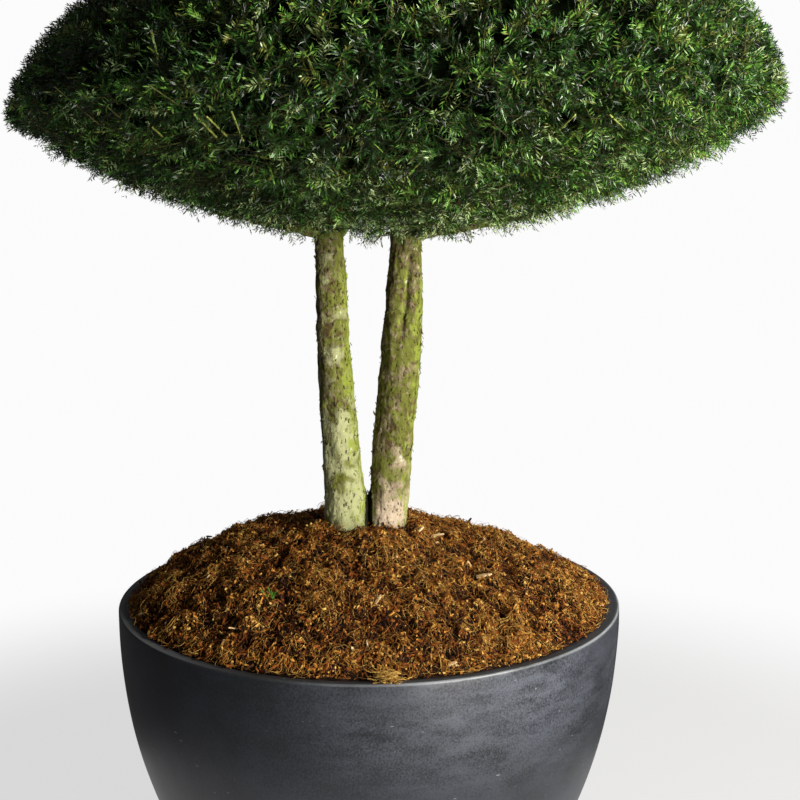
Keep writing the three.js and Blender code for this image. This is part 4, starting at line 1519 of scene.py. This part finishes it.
@dataclass
class Crown:
    """The clipped crown: branches, twigs and needles inside the outline."""

    shape: CrownShape
    boughs: list[Bough]
    trunks: list[Trunk]
    outer_count: int = 7600
    outer_depth: float = 0.009
    inner_count: int = 2300
    inner_depth: float = 0.036
    main_needles: int = 20
    off_needles: int = 13
    # Where each offshoot leaves its shoot, which way round it, at what angle and how long it is, as a share
    offshoots: tuple[tuple[float, float, float, float], ...] = (
        (0.30, 0.0, 0.72, 0.60), (0.44, math.pi, 0.66, 0.52), (0.58, 1.57, 0.6, 0.42),
    )
    own_tint: float = 0.45  # share of offshoots that are dealt a tint of their own
    stray_tint: float = 0.28  # share of needles a step lighter or darker than their spray
    twig_radius: float = 0.0014
    hang: float = 0.020  # how far shoots hang out under the outline
    hang_spread: float = 0.011
    middle_hang: float = 0.022  # how much further they hang round the trunks
    middle_reach: tuple[float, float] = (0.30, 0.14)
    right_hang: float = 0.020  # how much further they hang at the right-hand rim
    right_reach: tuple[float, float] = (0.44, 0.68)
    most_hang: float = 0.07
    shortest: float = 0.3
    hollow_size: float = 0.052
    hollow_depth: float = 0.030
    tuft_size: float = 0.045
    # Shares of the tints, in the order of NeedleTint
    outer_mix: tuple[float, ...] = (0.20, 0.33, 0.25, 0.13, 0.04, 0.05)
    # The inner layer takes only the two darkest tints, as painted shade deep in the crown.
    inner_mix: tuple[float, ...] = (0.6, 0.4, 0.0, 0.0, 0.0, 0.0)
    core_inset: float = 0.072
    core_lift: float = 0.085  # how much higher the core stays over the underside
    core_lump: float = 0.06
    core_rough: float = 0.014
    limb_clearance: float = 0.012
    limb_from: float = 1.30
    limb_height: float = 1.43
    limb_lift: float = 0.007  # how far over the outline's underside the bare limbs lie
    # Each bare limb under the crown: its trunk, its heading in degrees, its reach and its radius
    low_limbs: tuple[tuple[int, float, float, float], ...] = (
        (1, 3, 0.36, 0.0125), (1, -62, 0.22, 0.0080), (1, 70, 0.30, 0.0085), (0, 183, 0.26, 0.0090),
        (0, 236, 0.22, 0.0075), (0, 118, 0.28, 0.0080),
    )
    # Where bare ends show: low end and cut end, each as a height share and an angle of the outline
    clipped_ends: tuple[tuple[float, float, float, float], ...] = (
        (-0.140, -2.026, -0.060, -2.006), (-0.140, -1.996, -0.070, -1.981), (-0.155, -1.956, -0.060, -1.916),
        (-0.135, -2.181, -0.090, -2.146), (-0.150, -0.985, -0.095, -1.081), (-0.160, -1.161, -0.095, -1.171),
        (-0.080, -2.241, -0.025, -2.206), (-0.065, -2.336, 0.045, -2.351), (-0.040, -2.051, 0.015, -2.066),
        (-0.185, -1.226, -0.145, -1.226), (-0.170, -2.186, -0.165, -2.306),
    )
    bright_ends: int = 6
    other_ends: int = 14
    bright_radius: float = 0.0019
    dull_radius: float = 0.0012
    seed: int = 20817

    def limb_balls(self) -> np.ndarray:
        """Stand balls along every limb, for the twigs to keep clear of.

        Returns:
            Rows of place and radius.
        """
        rows = []
        for trunk in self.trunks:
            z = np.arange(self.limb_from, trunk.top, 0.015)
            rows.append(np.column_stack([trunk.centre(z), trunk.radius(z)]))
        for bough in self.boughs:
            balls = np.column_stack([bough.path(self.shape, 11), np.linspace(*bough.radii, 11)])
            rows.append(balls[:-4])
        return np.concatenate(rows)

    def clear_of_limbs(self, shoots: Shoots) -> np.ndarray:
        """Find the shoots that keep clear of trunks and boughs.

        Args:
            shoots: The shoots.

        Returns:
            True for each that does.
        """
        balls = self.limb_balls()
        clear = np.ones(len(shoots.base), dtype=bool)
        for t in (0.3, 0.65, 1.0):
            spots = shoots.at(np.array([t]))[:, 0]
            gap = np.linalg.norm(spots[:, None] - balls[None, :, :3], axis=-1) - balls[None, :, 3]
            clear &= gap.min(axis=1) > self.limb_clearance
        return clear

    def clipped(self, shoots: Shoots, random: np.random.Generator) -> tuple[Shoots, np.ndarray]:
        """Cut every shoot back to the outline, as shears do.

        Args:
            shoots: Shoots that may stand too far out.
            random: The source of chance.

        Returns:
            The shortened shoots, and which of them are long enough to keep.
        """
        share = np.ones(len(shoots.base))
        slack = np.maximum(random.normal(self.hang, self.hang_spread, len(shoots.base)), -0.006)
        x, y = shoots.base[:, 0], shoots.base[:, 1]
        slack = slack + self.middle_hang * smooth_step(*self.middle_reach, np.hypot(x, y))
        slack = slack + self.right_hang * smooth_step(*self.right_reach, x)
        for shorter in np.linspace(0.95, self.shortest, 14):
            out = ~self.shape.inside(shoots.at(share[:, None])[:, 0], 0.006, slack)
            share[out] = shorter
        tips_inside = self.shape.inside(shoots.at(share[:, None])[:, 0], 0.005, self.most_hang)
        keep = tips_inside & self.shape.inside(shoots.base, 0.014, 0.0) & (share > self.shortest)
        length = shoots.length * share
        cut = Shoots(shoots.base, shoots.way, shoots.side, length, shoots.bend * share, shoots.flatness)
        return cut, keep & self.clear_of_limbs(cut)

    def layer(self, inner: bool, random: np.random.Generator) -> tuple[Shoots, np.ndarray]:
        """Place one layer of main shoots under the outline.

        Args:
            inner: Whether it is the inner layer.
            random: The source of chance.

        Returns:
            The shoots, and where each stands from -1 below to 1 on top.
        """
        count, depth = (self.inner_count, self.inner_depth) if inner else (self.outer_count, self.outer_depth)
        s, angle = self.shape.even_places(count, random)
        normal = self.shape.normal(s, angle)
        skin = self.shape.point(s, angle)

        # Fewer shoots stand in the hollows, and round the trunks in all but the tufts
        hollow = smooth_step(0.05, 0.65, ValueNoise(9).layers(skin / self.hollow_size, 2))
        near = smooth_step(-0.55, -0.88, s)
        tufts = smooth_step(-0.1, 0.4, ValueNoise(41).layers(skin / self.tuft_size, 2))
        thin = 0.55 * hollow + near * (0.90 if inner else 0.32 + 0.62 * tufts)
        kept = random.random(count) > thin

        # Tips stand further out at the rim, above all on the right, and further in in the hollows
        low = 1 + 0.9 * smooth_step(*self.right_reach, skin[:, 0])
        drop = smooth_step(0.02, -0.05, s) * random.uniform(0.002, 0.022, count) * (not inner) * low
        sink = depth - drop + self.hollow_depth * hollow * random.random(count) + np.abs(random.normal(0, 0.004, count))
        tip = skin - normal * sink[:, None]

        # On the dome shoots climb towards the light, and on the underside they lie flat and point outward
        below = smooth_step(0.05, -0.12, s)[:, None]
        away = outward(angle)
        climb = mix(UP[None] * 0.6 + away * 0.1, away * 0.8 - UP[None] * 0.15, below)
        climb = climb + random.normal(0, 0.65, (count, 3))
        slant = unit(climb - normal * np.sum(climb * normal, axis=1, keepdims=True))
        lean = mix(0.6, 0.98, below[:, 0]) + random.normal(0, 0.32, count)
        lean = np.clip(lean, 0.1, 1.4)[:, None]
        way = unit(normal * np.cos(lean) + slant * np.sin(lean))
        length = mix(0.066, 0.092, below[:, 0]) * random.uniform(0.8, 1.25, count)
        roll = random.normal(0, 0.5, (count, 1)) + (1 - below) * random.uniform(-1.5, 1.5, (count, 1))
        level = unit(np.cross(normal, way))
        side = unit(level * np.cos(roll) + np.cross(way, level) * np.sin(roll))
        bend = random.normal(0, 0.08, count) + mix(0.02, -0.07, below[:, 0])
        flatness = mix(random.uniform(0.1, 0.6, count), random.uniform(0.55, 0.95, count), below[:, 0])
        shoots = Shoots(tip - way * length[:, None], way, side, length, bend, flatness)
        return shoots.picked(kept), s[kept]

    def tints(self, s: np.ndarray, places: np.ndarray, inner: bool, random: np.random.Generator) -> np.ndarray:
        """Deal a tint to each spray.

        Args:
            s: Where each spray stands from -1 below to 1 on top.
            places: Where each spray begins.
            inner: Whether the sprays lie in the inner layer.
            random: The source of chance.

        Returns:
            The index of each spray's tint.
        """
        column = {tint: number for number, tint in enumerate(NeedleTint)}
        weights = np.tile(np.array(self.inner_mix if inner else self.outer_mix), (len(s), 1))
        if not inner:
            # Sprays underneath are paler, as the needles' undersides are, and near the trunks far paler still as
            # painted light thrown up from below.
            pale = smooth_step(-0.1, -0.5, s) * 0.15 + smooth_step(-0.45, -0.85, s) * 1.6
            weights[:, column[NeedleTint.PALE]] += pale
            olive = smooth_step(0.02, 0.3, s) * 0.18 + smooth_step(-0.5, -0.85, s) * 0.4
            weights[:, column[NeedleTint.OLIVE]] += olive
            # Sprays on the right, towards the lamps, take more of the fresh tint and those on the left more of the
            # darkest: painted light on the right and painted shade on the left.
            sunny = smooth_step(-0.2, 0.7, places[:, 0])
            weights[:, column[NeedleTint.FRESH]] += sunny * 0.12
            weights[:, column[NeedleTint.SHADE]] += (1 - sunny) * 0.38
        cumulative = np.cumsum(weights / weights.sum(axis=1, keepdims=True), axis=1)
        return (random.random((len(s), 1)) > cumulative).sum(axis=1).clip(0, 5)

    def axes(self, inner: bool, random: np.random.Generator) -> list[tuple[Shoots, int, np.ndarray]]:
        """Branch one layer of shoots.

        Args:
            inner: Whether it is the inner layer.
            random: The source of chance.

        Returns:
            The main shoots, then each round of offshoots: the axes, the needles on each, and their tints.
        """
        mains, s = self.layer(inner, random)
        tint = self.tints(s, mains.base, inner, random)
        axes = [(mains, self.main_needles, tint)]
        for at, roll, spread, share in self.offshoots[: 1 if inner else 3]:
            fresh = self.tints(s, mains.base, inner, random)
            dealt = np.where(random.random(len(tint)) < self.own_tint, fresh, tint)
            axes.append((mains.offshoots(at, roll, spread, share, random), self.off_needles, dealt))
        return axes

    def add_twigs(self, parcel: Parcel, shoots: Shoots, steps: int) -> None:
        """Add three-sided twigs along every shoot's axis, each closed to a point.

        Args:
            parcel: Where they are gathered.
            shoots: The shoots.
            steps: Points along each twig.
        """
        path = shoots.at(np.linspace(0, 0.97, steps))
        radii = np.linspace(self.twig_radius, 0.0, steps)[None, :, None, None]
        corner = round_angles(3)[None, None, :, None]
        ring = shoots.side[:, None, None] * np.cos(corner) + shoots.face[:, None, None] * np.sin(corner)
        parcel.add(path[:, :, None] + ring * radii, repeated(grid_faces(steps, 3, True), len(shoots.base), steps * 3))

    def sheared(self, needles: np.ndarray) -> np.ndarray:
        """Cut back the needles that stand out of the dome, as shears do.

        Args:
            needles: Their corners, of shape (shoots, needles, 4, 3).

        Returns:
            The same with the long ones cut.
        """
        root, kept = needles[:, :, :1], np.ones(needles.shape[:2])
        for share in (0.75, 0.5, 0.25):
            tip = mix(root[:, :, 0], needles[:, :, 2], kept[..., None])
            kept[~self.shape.inside(tip, -0.001, 0.08)] = share
        return mix(root, needles, kept[..., None, None])

    def dress_needles(self, random: np.random.Generator) -> None:
        """Build the sprays of needles and the twigs that carry them.

        Args:
            random: The source of chance.
        """
        needles = {tint: [] for tint in NeedleTint}
        twigs = {"twigs_main": Parcel(), "twigs_side": Parcel()}
        rule = NeedleRule()
        for inner in (False, True):
            for order, (axis, per_axis, kind) in enumerate(self.axes(inner, random)):
                cut, keep = self.clipped(axis, random)
                cut, kind = cut.picked(keep), kind[keep]
                self.add_twigs(twigs["twigs_side" if order else "twigs_main"], cut, 2 if order else 3)
                grown = self.sheared(rule.grow(cut, per_axis, random))
                shade = np.repeat(kind[:, None], per_axis, axis=1)
                other = random.random(shade.shape) < self.stray_tint
                shade[other] = np.clip(shade[other] + random.choice([-1, 1], other.sum()), 0, 5)
                for index, tint in enumerate(NeedleTint):
                    needles[tint].append(grown[shade == index])
        packed = ["crown"]
        for tint, batches in needles.items():
            material = tint.value.build()
            for number, part in enumerate(needle_parcels(np.concatenate(batches)), 1):
                place_piece(part.build(f"needles_{tint.name.lower()}_{number}", material), "foliage", *packed)
                packed = []
        wood = Fibre("young_yew_twig", "2c2a12", "54522a", 14.0, 0.7).build()
        for name, parcel in twigs.items():
            place_piece(parcel.build(name, wood), "foliage")

    def dress_core(self) -> None:
        """Build the dense inner brushwood that closes the crown from within, coloured near black as painted shade."""
        rows, columns = 84, 150
        s = np.linspace(-0.995, 0.995, rows)[:, None]
        angle = round_angles(columns)[None, :]
        skin = self.shape.point(s, angle)
        normal = self.shape.normal(s, angle)
        lumps = ValueNoise(77).layers(skin.reshape(-1, 3) / self.core_lump, 3).reshape(rows, columns)
        near = smooth_step(-0.35, -0.8, s)
        inset = self.core_inset + near * self.core_lift + lumps * self.core_rough
        parcel = Parcel()
        parcel.add(skin - normal * inset[..., None], grid_faces(rows, columns, True), *end_faces(rows, columns))
        # Near black and without gloss: the brushwood's colour is painted shade.
        finish = Fibre("inner_brushwood_shade", "060a04", "0f160a", 16.0, 1.0, 0.0)
        place_piece(parcel.build("crown_core", finish.build()), "foliage")

    def dress_boughs(self, bark: bpy.types.Material) -> None:
        """Build the boughs.

        Args:
            bark: Their finish.
        """
        relief = ValueNoise(53)
        steps, sides = 26, 20
        for bough in self.boughs:
            points, faces = tube(bough.path(self.shape, steps), np.linspace(*bough.radii, steps), sides, relief)
            parcel = Parcel()
            parcel.add(points, faces, end_faces(steps, sides)[1])
            place_piece(parcel.build(f"{bough.node}_bark", bark, smooth=True), "bark", bough.node)

    def dress_branches(self, bark: bpy.types.Material, random: np.random.Generator) -> None:
        """Build the branches that fan out from the boughs over the underside.

        Args:
            bark: Their finish.
            random: The source of chance.
        """
        joined = Parcel()
        for bough in self.boughs:
            bough_path = bough.path(self.shape, 26)
            tip, way = bough_path[-1], bough_path[-1] - bough_path[-3]
            heading = math.atan2(way[1], way[0])
            for fan in np.linspace(-1.0, 1.0, 5):
                toward = heading + fan * 0.95 + random.normal(0, 0.1)
                s = random.uniform(0.62, 0.86) - 1.0
                end = self.shape.point(np.array(s), np.array(toward)) + UP * random.uniform(0.02, 0.05)
                start = tip - unit(way) * random.uniform(0.0, 0.06)
                middle = (start + end) / 2 + UP * random.uniform(-0.035, 0.0)
                middle[2] = max(middle[2], self.shape.underside_height(middle[0], middle[1]) + 0.025)
                path = arc(start, middle, end, 12)
                waver = np.sin(math.pi * np.linspace(0, 1, 12))[:, None]
                path = path + random.normal(0, 0.004, path.shape) * waver
                joined.add(*tube(path, np.linspace(bough.radii[1] * 0.75, 0.002, 12), 7))
        place_piece(joined.build("branches", bark, smooth=True), "bark")

    def dress_low_limbs(self, bark: bpy.types.Material, random: np.random.Generator) -> None:
        """Build the limbs that run bare along the underside, each out of a trunk's top.

        Args:
            bark: Their finish.
            random: The source of chance.
        """
        joined = Parcel()
        for trunk, heading, reach, thick in self.low_limbs:
            start = self.trunks[trunk].centre(np.array([self.limb_height]))[0]
            away = np.linspace(0, reach, 16)
            turn = math.radians(heading) + 0.06 * np.sin(away * 14)
            x, y = start[0] + away * np.cos(turn), start[1] + away * np.sin(turn)
            z = np.maximum(self.shape.underside_height(x, y) + self.limb_lift, start[2] + away * 0.1)
            z = mix(start[2], z, smooth_step(0, 0.09, away)) + random.normal(0, 0.0015, 16)
            joined.add(*tube(np.stack([x, y, z], axis=-1), np.linspace(thick, thick * 0.3, 16), 9))
        place_piece(joined.build("low_limbs", bark, smooth=True), "bark")

    def dress_clipped_ends(self, random: np.random.Generator) -> None:
        """Build the bare clipped ends of twigs that stand out of the foliage.

        Args:
            random: The source of chance.
        """
        others = [(random.uniform(0.2, math.pi), random.uniform(-0.2, 0.2)) for _ in range(self.other_ends)]
        places = list(self.clipped_ends) + [(s, angle, s + 0.07, angle + random.normal(0, 0.04)) for angle, s in others]
        joined = {"bright": Parcel(), "dull": Parcel()}
        steps, sides = 6, 6
        for number, (low, low_angle, high, high_angle) in enumerate(places):
            bright = number < self.bright_ends
            s, angle = np.array([low, high]), np.array([low_angle, high_angle])
            ends = self.shape.point(s, angle) + self.shape.normal(s, angle) * np.array([[-0.004], [0.010]])
            path = mix(ends[0], ends[1], np.linspace(-0.25, 1, steps)[:, None])
            thick = self.bright_radius if bright else self.dull_radius
            points, faces = tube(path, np.linspace(thick, thick * 0.8, steps), sides)
            joined["bright" if bright else "dull"].add(points, faces, end_faces(steps, sides)[1])
        finishes = {
            "bright": Fibre("clipped_yew_wood", "6a742c", "b2ba5c", 12.0, 0.75),
            "dull": Fibre("weathered_yew_twig", "3b3f1c", "6b6d38", 12.0, 0.8),
        }
        for name, finish in finishes.items():
            place_piece(joined[name].build(f"clipped_ends_{name}", finish.build(), smooth=True), "foliage")

    def dress(self, bark: bpy.types.Material) -> None:
        """Build everything above the trunks' forks.

        Args:
            bark: The finish of its limbs.
        """
        random = np.random.default_rng(self.seed)
        self.dress_needles(random)
        self.dress_core()
        self.dress_boughs(bark)
        self.dress_branches(bark, random)
        self.dress_low_limbs(bark, random)
        self.dress_clipped_ends(random)


# The studio


@dataclass
class Studio:
    """Plain floor, soft lights and the camera."""

    camera_at: tuple[float, float, float] = (0.065, -2.728, 1.4973)
    pitch: float = 2.899
    lens: float = 57.463
    shift_y: float = -0.165
    floor_hub: float = 0.001
    floor_height: float = -0.0005
    mirrored_floor: float = 0.95
    lit_floor: float = 2.5
    far_floor: float = 60.0
    world_light: float = 0.08
    world_seen: float = 0.97

    def floor(self) -> None:
        """Lay the floor in rings, of which only the inner one throws light back on the plant."""
        edges = (self.floor_hub, self.mirrored_floor, self.lit_floor, self.far_floor)
        for number, (inner, outer) in enumerate(zip(edges, edges[1:])):
            points, faces = turned(np.array([[inner, self.floor_height], [outer, self.floor_height]]), 128)
            parcel = Parcel()
            parcel.add(points, faces[:, ::-1])
            ground = parcel.build(f"floor_{number + 1}", PaintedFloor(name=f"painted_floor_{number + 1}").build())
            ground.visible_glossy = number == 0
            ground.visible_diffuse = ground.visible_shadow = number == 0

    def world(self) -> None:
        """Light the room softly from all round, with a white backdrop."""
        world = bpy.data.worlds.new("studio")
        world.use_nodes = True
        tree = world.node_tree
        background = tree.nodes["Background"]
        seen = add_node(tree, Kind.RAY, out="Is Camera Ray")
        strength = add_node(tree, Kind.RANGE, {0: seen, 3: self.world_light, 4: self.world_seen})
        tree.links.new(strength, background.inputs["Strength"])
        background.inputs["Color"].default_value = linear("ffffff")
        bpy.context.scene.world = world

    def lamp(self, name: str, at: tuple[float, float, float], aim: tuple[float, float, float], size: float,
             power: float, colour: str) -> None:
        """Hang one soft square light.

        Args:
            name: Its name.
            at: Where it hangs.
            aim: Where it points.
            size: Its side, in metres.
            power: In watts.
            colour: Its sRGB hex colour.
        """
        light = bpy.data.lights.new(name, "AREA")
        light.size = size
        light.energy = power
        light.color = linear(colour)[:3]
        lamp = bpy.data.objects.new(name, light)
        lamp.location = at
        lamp.rotation_euler = (Vector(aim) - Vector(at)).to_track_quat("-Z", "Y").to_euler()
        bpy.context.scene.collection.objects.link(lamp)

    def camera(self) -> None:
        """Set up the camera at the photograph's viewing angle."""
        data = bpy.data.cameras.new("camera")
        data.sensor_width = 36.0
        data.lens = self.lens
        data.shift_y = self.shift_y
        data.clip_end = 200
        camera = bpy.data.objects.new("camera", data)
        camera.location = self.camera_at
        camera.rotation_euler = (math.radians(90 - self.pitch), 0, 0)
        bpy.context.scene.collection.objects.link(camera)
        bpy.context.scene.camera = camera

    def dress(self) -> None:
        """Build the studio."""
        self.camera()
        self.floor()
        self.world()
        self.lamp("key_right", (2.9, -2.5, 2.0), (0.1, 0.0, 1.2), 1.1, 188, "fffaf0")
        self.lamp("low_right", (1.9, -3.0, 0.5), (0.0, 0.0, 1.35), 1.2, 76, "fffdf6")
        self.lamp("fill_front", (0.0, -4.6, 1.8), (0.0, 0.0, 1.0), 2.4, 6, "f4f8ff")
        self.lamp("back_right", (2.4, 2.6, 2.6), (0.0, 0.0, 1.4), 1.6, 28, "ffffff")
        bpy.context.scene.view_settings.view_transform = "Standard"


def main() -> None:
    """Build the plant and its studio in order."""
    logging.basicConfig(level=logging.INFO, format="%(name)s: %(message)s")
    Studio().dress()
    bowl = Bowl()
    bowl.dress()
    Mulch(bowl).dress()
    left = Trunk(
        name="trunk_left_bark",
        node="trunk_left",
        points=[
            (-0.048, -0.008, 0.795), (-0.064, -0.012, 1.010), (-0.077, -0.016, 1.200), (-0.084, -0.020, 1.410),
            (-0.089, -0.023, 1.530),
        ],
        radii=[0.043, 0.0395, 0.035, 0.031, 0.029],
        lobes=4,
        flute=0.0,
        flute_at=-1.9,
        seed=31,
        web=0.015,
        web_at=0.55,
    )
    right = Trunk(
        name="trunk_right_bark",
        node="trunk_right",
        points=[
            (0.033, 0.006, 0.795), (0.051, 0.008, 0.990), (0.069, 0.012, 1.200), (0.078, 0.015, 1.400),
            (0.083, 0.017, 1.530),
        ],
        radii=[0.042, 0.044, 0.044, 0.034, 0.031],
        lobes=5,
        flute=0.14,
        flute_at=-1.42,
        seed=37,
        flare=0.0,
        web=0.013,
        web_at=2.65,
    )
    bark = YewBark().build()
    left.dress(bark)
    right.dress(bark)
    dress_scales([left, right], bark)
    boughs = [
        Bough("bough_left", left, 1.432, 178, 29, (0.021, 0.013)),
        Bough("bough_front_left", left, 1.466, 245, 30, (0.017, 0.012)),
        Bough("bough_back_left", left, 1.450, 112, 28, (0.019, 0.012)),
        Bough("bough_inner", left, 1.408, 12, 50, (0.010, 0.007)),
        Bough("bough_right", right, 1.425, -4, 28, (0.021, 0.012)),
        Bough("bough_front_right", right, 1.466, 300, 30, (0.017, 0.012)),
        Bough("bough_back_right", right, 1.452, 62, 28, (0.019, 0.012)),
    ]
    Crown(CrownShape(), boughs, [left, right]).dress(bark)


if __name__ == "__main__":
    main()
